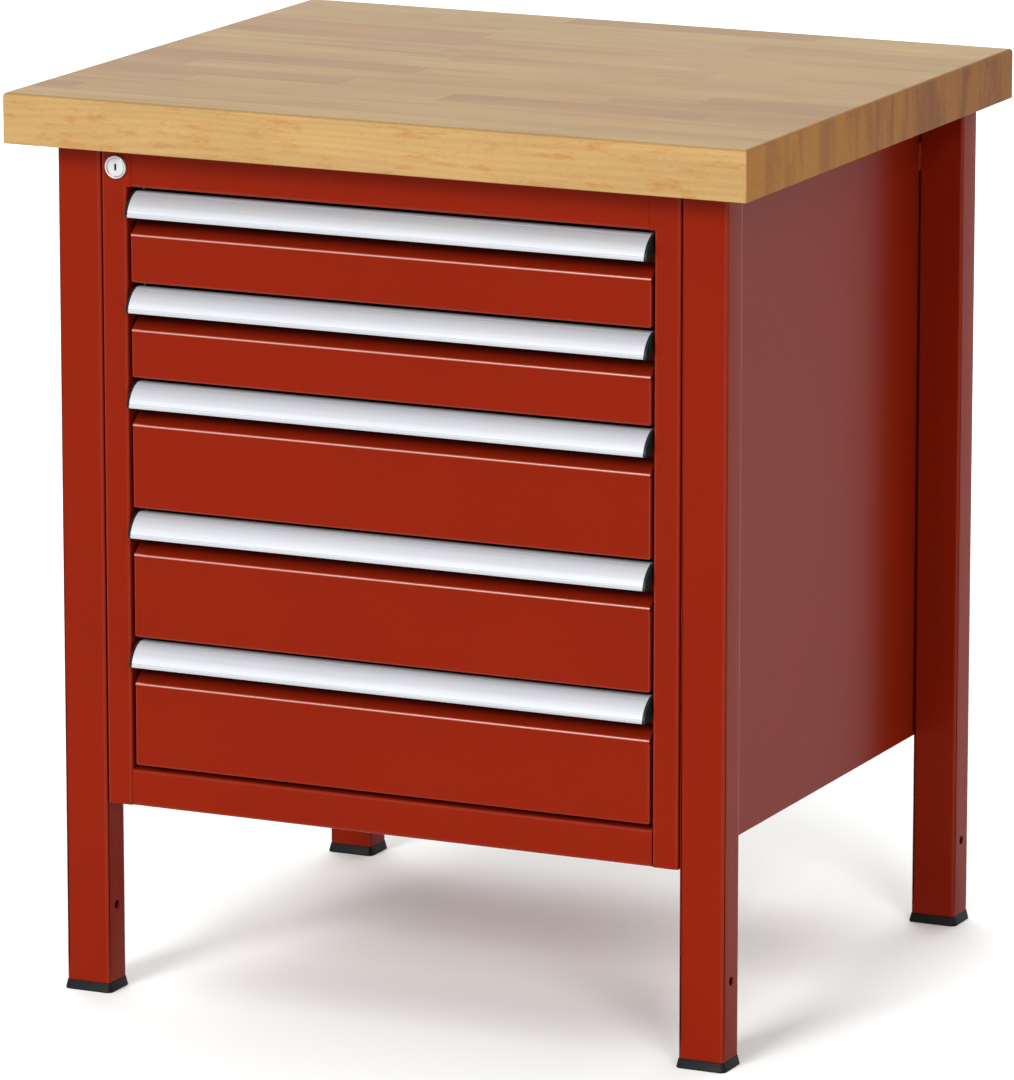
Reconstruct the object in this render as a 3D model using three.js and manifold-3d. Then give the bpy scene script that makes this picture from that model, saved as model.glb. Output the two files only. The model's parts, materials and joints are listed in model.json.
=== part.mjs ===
// A free-standing steel workbench: a beech worktop on four square-tube legs, with a cabinet of five
// lockable drawers hung between the legs. Millimetres, +Z up, +X to the right and -Y to the front.
// The origin is on the floor, under the middle of the worktop.

import * as THREE from "three";
import { mergeVertices } from "three/addons/utils/BufferGeometryUtils.js";
import Module from "manifold-3d";

const wasm = await Module();
wasm.setup();

// ---- Driving dimensions ----------------------------------------------------------------------

const WIDTH = 750;
const DEPTH = 640;
const HEIGHT = 865;
const GAP = 0.3; // between neighbours that touch on the real object

const WORKTOP_THICKNESS = 48;
const WORKTOP_TOP_EDGE_RADIUS = 4;
const WORKTOP_BOTTOM_EDGE_RADIUS = 1;
const WORKTOP_CORNER_RADIUS = 1.2;
const WORKTOP_LEAST_RADIUS = 0.2; // of the upright corners, inside the rounded edges

const LEG_WIDTH = 45;
const LEG_DEPTH = 35;
const LEG_WALL = 2;
const LEG_CORNER_RADIUS = 3;
const LEG_SIDE_OVERHANG = 35; // worktop past the legs' outer faces
const LEG_FRONT_OVERHANG = 40; // worktop past the legs' front faces
const LEG_HOLE_RADIUS = 4.5;
const LEG_HOLE_HEIGHT = 83;

const FOOT_HEIGHT = 9;
const FOOT_FLARE = 2.4;
const FOOT_PLUG_HEIGHT = 22;

const CABINET_BOTTOM = 187;
const LEG_TO_CABINET = 1.2;
const WELD_PAD = { halfWidth: 12, height: 30, fromEnd: 41 }; // between each leg and its side panel
const SHELL_SHEET = 1.5;
const BEND_RADIUS = 2;
const REAR_INSET = 1; // cabinet rear, in front of the legs' rear faces
const REAR_FLANGE = 20;
const POST_RETURN = 18;
const TOP_RAIL_END_INSET = 4.8; // seam of the front top rail, inboard of the opening
const RAIL_RETURN = 25;

const OPENING_HALF_WIDTH = 268;
const OPENING_BOTTOM = 222;
const OPENING_FOOT_GAP = 4;
const SHALLOW_SLOT = 90;
const DEEP_SLOT = 124;
const SLOT_HEIGHTS = [SHALLOW_SLOT, SHALLOW_SLOT, DEEP_SLOT, DEEP_SLOT, DEEP_SLOT]; // from the top

const FRONT_SIDE_GAP = 3.3;
const FRONT_SETBACK = 1.3;
const FRONT_SHEET = 1.2;
const FRONT_RETURN = 13;
const BEND_BELOW_SLOT_TOP = 44.8; // where the front bends back into the finger recess
const RECESS_SHELF_RISE = 12;
const RECESS_DEPTH = 16;
const RECESS_TOP_BELOW_SLOT_TOP = 6.5;
const FRONT_TOP_FLANGE = 12;

const HANDLE_TOP = -5; // heights under the slot's top
const HANDLE_BOTTOM = -27;
const HANDLE_LIP_START = -25.3;
const HANDLE_REACH = 10.3; // in front of the cabinet's front face
const HANDLE_CREST = 8; // behind it, where the curve meets the flat top
const HANDLE_ARC_RADIUS = 28;
const HANDLE_WALL = 1.8;
const HANDLE_LIP_STEP = 0.3; // the lip stands this far in front of the curve
const HANDLE_FLANGE_HEIGHT = 17;

const BOX_SHEET = 1.2;
const BOX_HALF_WIDTH = 252.3;
const BOX_BACK = 262;
const BOX_BELOW_SLOT_TOP = 20;
const BOX_ABOVE_SLOT_BOTTOM = 6;
const BOX_HEM = 7;

const SLIDE_LENGTH = 500;
const SLIDE_ABOVE_SLOT_BOTTOM = 32;
const SLIDE_SHEET = 1.2;
const SLIDE_OUTER_HALF_HEIGHT = 17;
const SLIDE_MIDDLE_HALF_HEIGHT = 15;
const SLIDE_INNER_HALF_HEIGHT = 12.8;
const SLIDE_OUTER_WEB = 266.4; // distances of each web from the bench's centre plane
const SLIDE_MIDDLE_WEB = 264.2;
const SLIDE_OUTER_LIP = 258.8;
const SLIDE_MIDDLE_LIP = 255.6;
const SLIDE_INNER_LIP = 262.2;

const UPRIGHT_WIDTH = 30;
const UPRIGHT_FRONT = -245;
const UPRIGHT_REAR = 205;

const CROSS_RAIL_WIDTH = 34;
const CROSS_RAIL_HEIGHT = 24;
const CROSS_RAIL_CENTRES = { front: -200, rear: 250 };

const LOCK_X = -278;
const LOCK_Z = 796;
const LOCK_RIM_RADIUS = 11;
const LOCK_RIM_INNER_RADIUS = 9;
const LOCK_RIM_HEIGHT = 3;
const LOCK_RIM_EDGE = 0.6;
const LOCK_SEAT_HEIGHT = 1;
const LOCK_BARREL_RADIUS = 9.2;
const LOCK_BARREL_BACK = 24;
const LOCK_PLUG_RADIUS = 6;
const LOCK_PLUG_FACE_RADIUS = 8.6;
const LOCK_PLUG_FACE_HEIGHT = 0.8; // so that the face lies below the rim around it
const LOCK_PLUG_END = 1; // the plug stands out behind the barrel
const LOCK_CLEARANCE = 0.3;
const KEY_SLOT = { width: 2.2, height: 6.4, depth: 9 };
const CAM_THICKNESS = 2.5;
const CAM_ARM = 8;
const CAM_PIN_RADIUS = 2;
const CAM_PIN_LENGTH = 5.5;
const CAM_REST_ANGLE = -Math.PI / 4;
const LOCK_BAR_WIDTH = 14;
const LOCK_BAR_THICKNESS = 2;
const LOCK_BAR_BEHIND_CAM = 1.3;
const LOCK_BAR_SIDE_GAP = 0.5;
const LOCK_BAR_BOTTOM = 236;
const LOCK_BAR_SLOT_PLAY = 0.5;
const LOCK_FINGER = { reach: 20, height: 4, belowSlotTop: 35 };
const LOCK_CATCH = { reach: 10, depth: 3.5, height: 6, belowSlotTop: 23, behindBar: 1.4 };

// ---- Places worked out from them ---------------------------------------------------------------

const worktopBottom = HEIGHT - WORKTOP_THICKNESS;
const frameTop = worktopBottom - GAP;
const legOuterX = WIDTH / 2 - LEG_SIDE_OVERHANG;
const legInnerX = legOuterX - LEG_WIDTH;
const frontY = -(DEPTH / 2 - LEG_FRONT_OVERHANG);
const rearY = DEPTH / 2 - FOOT_FLARE; // so that the rear feet end flush with the worktop
const shellX = legInnerX - LEG_TO_CABINET;
const shellInnerX = shellX - SHELL_SHEET;
const shellRearY = rearY - REAR_INSET;
const openingTop = OPENING_BOTTOM + OPENING_FOOT_GAP + SLOT_HEIGHTS.reduce((sum, h) => sum + h, 0);
const frontHalfWidth = OPENING_HALF_WIDTH - FRONT_SIDE_GAP;
const recessY = frontY + RECESS_DEPTH;
const boxFrontY = recessY + FRONT_SHEET + GAP;
const uprightX = SLIDE_OUTER_WEB + GAP;
const barrelBackY = frontY + LOCK_BARREL_BACK;
const plugEndY = barrelBackY + LOCK_PLUG_END;
const camFrontY = plugEndY + GAP;
const camBackY = camFrontY + CAM_THICKNESS;
const lockBarFrontY = camBackY + LOCK_BAR_BEHIND_CAM;
const lockBarBackY = lockBarFrontY + LOCK_BAR_THICKNESS;

const slots = SLOT_HEIGHTS.map((height, i) => {
  const top = openingTop - SLOT_HEIGHTS.slice(0, i).reduce((sum, h) => sum + h, 0);
  return { number: i + 1, top, bottom: top - height };
});

// ---- Materials ---------------------------------------------------------------------------------

const beech = new THREE.MeshStandardMaterial({ color: 0xd2a86c, roughness: 0.55, metalness: 0 });
const redPaint = new THREE.MeshStandardMaterial({ color: 0x96230f, roughness: 0.42, metalness: 0.1 });
const greyPaint = new THREE.MeshStandardMaterial({ color: 0xb9bcb8, roughness: 0.5, metalness: 0.1 });
const blackPlastic = new THREE.MeshStandardMaterial({ color: 0x16181a, roughness: 0.6, metalness: 0 });
const aluminium = new THREE.MeshStandardMaterial({ color: 0xd9dbe0, roughness: 0.35, metalness: 1 });
const nickel = new THREE.MeshStandardMaterial({ color: 0xdcdcda, roughness: 0.22, metalness: 1 });
const zincSteel = new THREE.MeshStandardMaterial({ color: 0xa9adb2, roughness: 0.4, metalness: 1 });

// ---- Solids ------------------------------------------------------------------------------------

/** The geometry as a closed solid, whichever way round its faces were wound. */
function solid(geometry) {
  const bare = geometry.clone();
  bare.deleteAttribute("normal");
  bare.deleteAttribute("uv");
  const merged = mergeVertices(bare, 1e-4);
  const triVerts = new Uint32Array(merged.index.array);
  const build = () =>
    new wasm.Manifold(
      new wasm.Mesh({ numProp: 3, vertProperties: merged.attributes.position.array, triVerts }),
    );
  const made = build();
  if (made.volume() >= 0) return made;
  for (let i = 0; i < triVerts.length; i += 3) {
    [triVerts[i + 1], triVerts[i + 2]] = [triVerts[i + 2], triVerts[i + 1]];
  }
  return build();
}

/** A solid's triangles as three.js geometry, with flat normals. */
function geometryOf(body) {
  const { vertProperties, triVerts, numProp, numVert } = body.getMesh();
  const positions = new Float32Array(numVert * 3);
  for (let i = 0; i < numVert; i++) {
    positions.set(vertProperties.subarray(i * numProp, i * numProp + 3), i * 3);
  }
  const indexed = new THREE.BufferGeometry();
  indexed.setAttribute("position", new THREE.BufferAttribute(positions, 3));
  indexed.setIndex(new THREE.BufferAttribute(new Uint32Array(triVerts), 1));
  const flat = indexed.toNonIndexed();
  flat.computeVertexNormals();
  return flat;
}

function join(...bodies) {
  return bodies.reduce((whole, body) => whole.add(body));
}

/** Two limits as a [lower, upper] pair, whichever side of the bench they are on. */
const span = (a, b) => [Math.min(a, b), Math.max(a, b)];

function box([x0, x1], [y0, y1], [z0, z1]) {
  const geometry = new THREE.BoxGeometry(x1 - x0, y1 - y0, z1 - z0);
  return solid(geometry.translate((x0 + x1) / 2, (y0 + y1) / 2, (z0 + z1) / 2));
}

function cylinderAlongY(radius, x, z, [y0, y1], segments = 24) {
  const geometry = new THREE.CylinderGeometry(radius, radius, y1 - y0, segments);
  return solid(geometry.translate(x, (y0 + y1) / 2, z));
}

function cylinderAlongX(radius, y, z, [x0, x1], segments = 20) {
  const geometry = new THREE.CylinderGeometry(radius, radius, x1 - x0, segments);
  return solid(geometry.rotateZ(Math.PI / 2).translate((x0 + x1) / 2, y, z));
}

// A prism's outline is a list of [a, b] points: [x, y] along Z, [y, z] along X, [x, z] along Y.
const PRISM_FRAMES = {
  x: (start) => new THREE.Matrix4().set(0, 0, 1, start, 1, 0, 0, 0, 0, 1, 0, 0, 0, 0, 0, 1),
  y: (start) => new THREE.Matrix4().set(1, 0, 0, 0, 0, 0, 1, start, 0, 1, 0, 0, 0, 0, 0, 1),
  z: (start) => new THREE.Matrix4().makeTranslation(0, 0, start),
};

function prism(axis, outline, [start, end], holes = []) {
  const toVectors = (points) => points.map(([a, b]) => new THREE.Vector2(a, b));
  const shape = new THREE.Shape(toVectors(outline));
  shape.holes = holes.map((hole) => new THREE.Path(toVectors(hole)));
  const geometry = new THREE.ExtrudeGeometry(shape, { depth: end - start, bevelEnabled: false });
  return solid(geometry.applyMatrix4(PRISM_FRAMES[axis](start)));
}

/** A solid through loops of equal point counts, one above the other, capped at both ends. */
function loft(sections) {
  const count = sections[0].length;
  const corners = sections.flat().map(([x, y, z]) => new THREE.Vector3(x, y, z));
  const triangles = [];
  for (let level = 0; level + 1 < sections.length; level++) {
    for (let i = 0; i < count; i++) {
      const a = level * count + i;
      const b = level * count + ((i + 1) % count);
      triangles.push(a, b, b + count, a, b + count, a + count);
    }
  }
  const cap = THREE.ShapeUtils.triangulateShape(
    sections[0].map(([x, y]) => new THREE.Vector2(x, y)),
    [],
  );
  const top = (sections.length - 1) * count;
  for (const [a, b, c] of cap) triangles.push(c, b, a, top + a, top + b, top + c);
  const geometry = new THREE.BufferGeometry().setFromPoints(corners);
  geometry.setIndex(triangles);
  return solid(geometry);
}

// ---- Outlines ----------------------------------------------------------------------------------

function roundedRectangle(halfWidth, halfDepth, radius, segments = 3) {
  const points = [];
  const quarters = [
    [1, 1],
    [-1, 1],
    [-1, -1],
    [1, -1],
  ];
  quarters.forEach(([signX, signY], quarter) => {
    for (let i = 0; i <= segments; i++) {
      const angle = (Math.PI / 2) * (quarter + i / segments);
      points.push([
        signX * (halfWidth - radius) + radius * Math.cos(angle),
        signY * (halfDepth - radius) + radius * Math.sin(angle),
      ]);
    }
  });
  return points;
}

const shifted = (outline, dx, dy) => outline.map(([x, y]) => [x + dx, y + dy]);

/** A path whose inner corners are rounded to the bend radius of a folded sheet. */
function withBends(path, radius = BEND_RADIUS, segments = 3) {
  const points = path.map(([a, b]) => new THREE.Vector2(a, b));
  const rounded = [path[0]];
  for (let i = 1; i + 1 < points.length; i++) {
    const towardLast = points[i - 1].clone().sub(points[i]).normalize();
    const towardNext = points[i + 1].clone().sub(points[i]).normalize();
    const half = Math.acos(THREE.MathUtils.clamp(towardLast.dot(towardNext), -1, 1)) / 2;
    const start = points[i].clone().addScaledVector(towardLast, radius / Math.tan(half));
    const end = points[i].clone().addScaledVector(towardNext, radius / Math.tan(half));
    const middle = towardLast.clone().add(towardNext).normalize();
    const centre = points[i].clone().addScaledVector(middle, radius / Math.sin(half));
    const from = start.sub(centre);
    const to = end.sub(centre);
    const sweep = Math.atan2(from.cross(to), from.dot(to));
    for (let step = 0; step <= segments; step++) {
      const spoke = from.clone().rotateAround(new THREE.Vector2(), (sweep * step) / segments);
      rounded.push([centre.x + spoke.x, centre.y + spoke.y]);
    }
  }
  rounded.push(path[path.length - 1]);
  return rounded;
}

/** The closed outline of a sheet that lies on one side of a path: +1 is its left, -1 its right. */
function sheetAlong(path, thickness, side) {
  const points = path.map(([a, b]) => new THREE.Vector2(a, b));
  const normals = points.slice(1).map((point, i) => {
    const along = point.clone().sub(points[i]).normalize();
    return new THREE.Vector2(-along.y, along.x).multiplyScalar(side);
  });
  const offset = points.map((point, i) => {
    const before = normals[Math.max(i - 1, 0)];
    const after = normals[Math.min(i, normals.length - 1)];
    const mitre = before.clone().add(after);
    mitre.multiplyScalar((2 * thickness) / mitre.lengthSq());
    return [point.x + mitre.x, point.y + mitre.y];
  });
  return [...path, ...offset.reverse()];
}

/** A channel section whose web is at one place and whose two lips reach to another. */
function channelOutline(web, lip, middle, halfHeight, thickness) {
  const path = [
    [lip, middle + halfHeight],
    [web, middle + halfHeight],
    [web, middle - halfHeight],
    [lip, middle - halfHeight],
  ];
  return sheetAlong(path, thickness, web > lip ? -1 : 1);
}

// ---- The object as a scene -----------------------------------------------------------------------

const bench = new THREE.Group();
const SIDES = { left: -1, right: 1 };

function addPiece(name, body, material) {
  const mesh = new THREE.Mesh(geometryOf(body), material);
  mesh.name = name;
  bench.add(mesh);
}

function addWorktop() {
  const level = (inset, z) => {
    const radius = Math.max(WORKTOP_CORNER_RADIUS - inset, WORKTOP_LEAST_RADIUS);
    const outline = roundedRectangle(WIDTH / 2 - inset, DEPTH / 2 - inset, radius);
    return outline.map(([x, y]) => [x, y, z]);
  };
  const roundedEdge = (radius, faceZ, inward) => {
    const levels = [];
    const steps = 4;
    for (let i = 0; i <= steps; i++) {
      const angle = (Math.PI / 2) * (i / steps);
      const rise = radius * (1 - Math.cos(angle));
      levels.push(level(radius * (1 - Math.sin(angle)), faceZ + inward * rise));
    }
    return levels;
  };
  const lower = roundedEdge(WORKTOP_BOTTOM_EDGE_RADIUS, worktopBottom, 1);
  const upper = roundedEdge(WORKTOP_TOP_EDGE_RADIUS, HEIGHT, -1).reverse();
  addPiece("worktop", loft([...lower, ...upper]), beech);
}

const legPlaces = [];
for (const [sideName, side] of Object.entries(SIDES)) {
  const x = side * (legOuterX - LEG_WIDTH / 2);
  legPlaces.push({ name: `front_${sideName}`, x, y: frontY + LEG_DEPTH / 2 });
  legPlaces.push({ name: `rear_${sideName}`, x, y: rearY - LEG_DEPTH / 2 });
}

/** A rectangular tube with one cross hole near its foot. */
function addLeg({ name, x, y }) {
  const outer = roundedRectangle(LEG_WIDTH / 2, LEG_DEPTH / 2, LEG_CORNER_RADIUS);
  const inner = roundedRectangle(
    LEG_WIDTH / 2 - LEG_WALL,
    LEG_DEPTH / 2 - LEG_WALL,
    LEG_CORNER_RADIUS - LEG_WALL,
  );
  const tube = prism("z", shifted(outer, x, y), [FOOT_HEIGHT + GAP, frameTop], [shifted(inner, x, y)]);
  const crossHole = cylinderAlongX(LEG_HOLE_RADIUS, y, LEG_HOLE_HEIGHT, [x - LEG_WIDTH, x + LEG_WIDTH]);
  addPiece(`leg_${name}`, tube.subtract(crossHole), redPaint);
}

/** A flared plastic cap whose plug reaches up into the tube. */
function addFoot({ name, x, y }) {
  const loop = (grow, z) =>
    shifted(
      roundedRectangle(LEG_WIDTH / 2 + grow, LEG_DEPTH / 2 + grow, LEG_CORNER_RADIUS),
      x,
      y,
    ).map(([px, py]) => [px, py, z]);
  const soleEdge = 1;
  const flare = loft([
    loop(FOOT_FLARE - soleEdge, 0),
    loop(FOOT_FLARE, soleEdge),
    loop(0, FOOT_HEIGHT),
  ]);
  const plugInset = LEG_WALL + GAP;
  const plug = roundedRectangle(LEG_WIDTH / 2 - plugInset, LEG_DEPTH / 2 - plugInset, 1);
  const spigot = prism("z", shifted(plug, x, y), [FOOT_HEIGHT / 2, FOOT_HEIGHT + FOOT_PLUG_HEIGHT]);
  addPiece(`foot_${name}`, join(flare, spigot), blackPlastic);
}

/** A side sheet folded inwards at the front into a post, and at the rear into a flange. */
function addSidePanel(sideName, side) {
  const rearFlangeX = shellX - REAR_FLANGE;
  const toPost = [
    [rearFlangeX, shellRearY],
    [shellX, shellRearY],
    [shellX, frontY],
  ];
  const beside = [...toPost, [OPENING_HALF_WIDTH, frontY], [OPENING_HALF_WIDTH, frontY + POST_RETURN]];
  const above = [...toPost, [OPENING_HALF_WIDTH - TOP_RAIL_END_INSET, frontY]];
  const mirrored = (path) => withBends(path).map(([x, y]) => [side * x, y]);
  const fold = (path, heights) => prism("z", sheetAlong(mirrored(path), SHELL_SHEET, -side), heights);
  let sheet = join(
    fold(beside, [CABINET_BOTTOM, openingTop]),
    fold(above, [openingTop, frameTop]),
  );
  const padX = span(side * (shellX - SHELL_SHEET / 2), side * (legInnerX - GAP));
  for (const y of [frontY + LEG_DEPTH / 2, rearY - LEG_DEPTH / 2]) {
    const padY = [y - WELD_PAD.halfWidth, y + WELD_PAD.halfWidth];
    const lowestZ = CABINET_BOTTOM + WELD_PAD.fromEnd;
    const highestZ = frameTop - WELD_PAD.fromEnd - WELD_PAD.height;
    for (const z of [lowestZ, highestZ]) {
      sheet = sheet.add(box(padX, padY, [z, z + WELD_PAD.height]));
    }
  }
  if (side === SIDES.left) {
    const lockHole = cylinderAlongY(LOCK_BARREL_RADIUS + LOCK_CLEARANCE, LOCK_X, LOCK_Z, [
      frontY - SHELL_SHEET,
      frontY + 2 * SHELL_SHEET,
    ]);
    sheet = sheet.subtract(lockHole);
  }
  addPiece(`side_panel_${sideName}`, sheet, redPaint);
}

function addBackPanel() {
  const halfWidth = shellInnerX - GAP;
  const backY = shellRearY - SHELL_SHEET - GAP;
  const panel = box(
    [-halfWidth, halfWidth],
    [backY - SHELL_SHEET, backY],
    [CABINET_BOTTOM + SHELL_SHEET + GAP, frameTop],
  );
  addPiece("back_panel", panel, redPaint);
}

/** The cabinet's floor, whose front edge is folded up into the rail under the drawers. */
function addBottomPan() {
  const railPath = withBends([
    [frontY + POST_RETURN, OPENING_BOTTOM],
    [frontY, OPENING_BOTTOM],
    [frontY, CABINET_BOTTOM],
    [frontY + 2 * POST_RETURN, CABINET_BOTTOM],
  ]);
  const railHalf = OPENING_HALF_WIDTH - GAP;
  const rail = prism("x", sheetAlong(railPath, SHELL_SHEET, 1), [-railHalf, railHalf]);
  const floorHalf = shellInnerX - GAP;
  const floor = box(
    [-floorHalf, floorHalf],
    [frontY + POST_RETURN + GAP, shellRearY - 2 * SHELL_SHEET - 2 * GAP],
    [CABINET_BOTTOM, CABINET_BOTTOM + SHELL_SHEET],
  );
  addPiece("bottom_pan", join(rail, floor), redPaint);
}

function addFrontTopRail() {
  const path = withBends([
    [frontY + RAIL_RETURN, frameTop],
    [frontY, frameTop],
    [frontY, openingTop],
    [frontY + RAIL_RETURN, openingTop],
  ]);
  const half = OPENING_HALF_WIDTH - TOP_RAIL_END_INSET - GAP;
  addPiece("front_top_rail", prism("x", sheetAlong(path, SHELL_SHEET, 1), [-half, half]), redPaint);
}

/** A channel, web upwards, between the side panels: the worktop is screwed down to it. */
function addCrossRail(name, centreY) {
  const half = CROSS_RAIL_WIDTH / 2;
  const path = withBends([
    [centreY - half, frameTop - CROSS_RAIL_HEIGHT],
    [centreY - half, frameTop],
    [centreY + half, frameTop],
    [centreY + half, frameTop - CROSS_RAIL_HEIGHT],
  ]);
  const reach = shellInnerX - GAP;
  const channel = prism("x", sheetAlong(path, SHELL_SHEET, -1), [-reach, reach]);
  addPiece(`cross_rail_${name}`, channel, redPaint);
}

/** A vertical channel, open towards its side panel, that carries the five slides of that side. */
function addUpright(name, side, y0) {
  const back = side * (shellInnerX - GAP);
  const face = side * uprightX;
  const path = withBends([
    [back, y0],
    [face, y0],
    [face, y0 + UPRIGHT_WIDTH],
    [back, y0 + UPRIGHT_WIDTH],
  ]);
  const heights = [CABINET_BOTTOM + SHELL_SHEET + GAP, openingTop - SHELL_SHEET - GAP];
  addPiece(`upright_${name}`, prism("z", sheetAlong(path, SHELL_SHEET, -side), heights), zincSteel);
}

const slideSpan = [-SLIDE_LENGTH / 2, SLIDE_LENGTH / 2];

function slideMember(side, web, lip, slot, halfHeight) {
  const middle = slot.bottom + SLIDE_ABOVE_SLOT_BOTTOM;
  const outline = channelOutline(web, lip, middle, halfHeight, SLIDE_SHEET);
  return prism("y", outline.map(([x, z]) => [side * x, z]), slideSpan);
}

function addSlide(sideName, side, slot) {
  const outer = slideMember(side, SLIDE_OUTER_WEB, SLIDE_OUTER_LIP, slot, SLIDE_OUTER_HALF_HEIGHT);
  const middle = slideMember(side, SLIDE_MIDDLE_WEB, SLIDE_MIDDLE_LIP, slot, SLIDE_MIDDLE_HALF_HEIGHT);
  addPiece(`slide_rail_${slot.number}_${sideName}`, outer, zincSteel);
  addPiece(`slide_middle_${slot.number}_${sideName}`, middle, zincSteel);
}

/** An open-topped tray with hemmed sides, the slides' inner members, and the lock's catch. */
function addDrawerBox(slot) {
  const bottom = slot.bottom + BOX_ABOVE_SLOT_BOTTOM;
  const top = slot.top - BOX_BELOW_SLOT_TOP;
  const x = BOX_HALF_WIDTH;
  const wallPath = [
    [-x + BOX_HEM, top],
    [-x, top],
    [-x, bottom],
    [x, bottom],
    [x, top],
    [x - BOX_HEM, top],
  ];
  const trough = prism("y", sheetAlong(wallPath, BOX_SHEET, 1), [boxFrontY, BOX_BACK]);
  const inset = BOX_SHEET / 2;
  const endWalls = [boxFrontY + inset, BOX_BACK - inset - BOX_SHEET].map((y) =>
    box([-x + inset, x - inset], [y, y + BOX_SHEET], [bottom + inset, top - inset]),
  );
  const members = Object.values(SIDES).map((side) =>
    slideMember(side, x - BOX_SHEET / 2, SLIDE_INNER_LIP, slot, SLIDE_INNER_HALF_HEIGHT),
  );
  const catchFrontY = lockBarBackY + LOCK_CATCH.behindBar;
  const catchTop = slot.top - LOCK_CATCH.belowSlotTop;
  const lockCatch = box(
    [-x - LOCK_CATCH.reach, -x + BOX_SHEET / 2],
    [catchFrontY, catchFrontY + LOCK_CATCH.depth],
    [catchTop - LOCK_CATCH.height, catchTop],
  );
  addPiece(
    `drawer_box_${slot.number}`,
    join(trough, ...endWalls, ...members, lockCatch),
    greyPaint,
  );
}

/** A front sheet that bends back above its face into a finger recess behind the handle. */
function addDrawerFront(slot) {
  const faceY = frontY + FRONT_SETBACK;
  const bend = slot.top - BEND_BELOW_SLOT_TOP;
  const recessTop = slot.top - RECESS_TOP_BELOW_SLOT_TOP;
  const path = withBends([
    [faceY + FRONT_RETURN, slot.bottom],
    [faceY, slot.bottom],
    [faceY, bend],
    [recessY, bend + RECESS_SHELF_RISE],
    [recessY, recessTop],
    [recessY + FRONT_TOP_FLANGE, recessTop],
  ]);
  const sheet = prism("x", sheetAlong(path, FRONT_SHEET, -1), [-frontHalfWidth, frontHalfWidth]);
  const returnY = [faceY + FRONT_SHEET / 2, faceY + FRONT_RETURN];
  const returnZ = [slot.bottom + BEND_RADIUS, bend - BEND_RADIUS];
  const returns = Object.values(SIDES).map((side) =>
    box(span(side * frontHalfWidth, side * (frontHalfWidth - FRONT_SHEET)), returnY, returnZ),
  );
  addPiece(`drawer_front_${slot.number}`, join(sheet, ...returns), redPaint);
}

/** The handle's arc from its crest down to its lip, on the given radius about the arc's centre. */
function handleArc(radius, steps) {
  const crest = new THREE.Vector2(HANDLE_CREST, HANDLE_TOP);
  const lip = new THREE.Vector2(-HANDLE_REACH, HANDLE_LIP_START);
  const chord = lip.clone().sub(crest);
  const inward = new THREE.Vector2(-chord.y, chord.x).normalize();
  const rise = Math.sqrt(HANDLE_ARC_RADIUS ** 2 - (chord.length() / 2) ** 2);
  const centre = crest.clone().addScaledVector(chord, 1 / 2).addScaledVector(inward, rise);
  const startAngle = crest.clone().sub(centre).angle();
  const endAngle = lip.clone().sub(centre).angle();
  const points = [];
  for (let i = 0; i <= steps; i++) {
    const angle = THREE.MathUtils.lerp(startAngle, endAngle, i / steps);
    points.push([centre.x + radius * Math.cos(angle), centre.y + radius * Math.sin(angle)]);
  }
  return points;
}

/** A curved pull rail across the whole drawer, screwed to the recess by the flange at its back. */
function addHandle(slot) {
  const steps = 8;
  const back = RECESS_DEPTH - GAP;
  const flangeFront = back - HANDLE_WALL;
  const lipFront = -HANDLE_REACH - HANDLE_LIP_STEP;
  const outline = [
    [back, HANDLE_TOP],
    ...handleArc(HANDLE_ARC_RADIUS, steps),
    [lipFront, HANDLE_BOTTOM],
    [lipFront + HANDLE_WALL, HANDLE_BOTTOM],
    ...handleArc(HANDLE_ARC_RADIUS - HANDLE_WALL, steps).reverse(),
    [flangeFront, HANDLE_TOP - HANDLE_WALL],
    [flangeFront, HANDLE_TOP - HANDLE_FLANGE_HEIGHT],
    [back, HANDLE_TOP - HANDLE_FLANGE_HEIGHT],
  ];
  const rail = prism("x", shifted(outline, frontY, slot.top), [-frontHalfWidth, frontHalfWidth]);
  addPiece(`drawer_handle_${slot.number}`, rail, aluminium);
}

/** A body of revolution about a line along Y through the lock's centre: [radius, y] points. */
function turnedAtLock(profile, segments = 32) {
  const points = profile.map(([radius, y]) => new THREE.Vector2(radius, y));
  return solid(new THREE.LatheGeometry(points, segments).translate(LOCK_X, 0, LOCK_Z));
}

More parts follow.
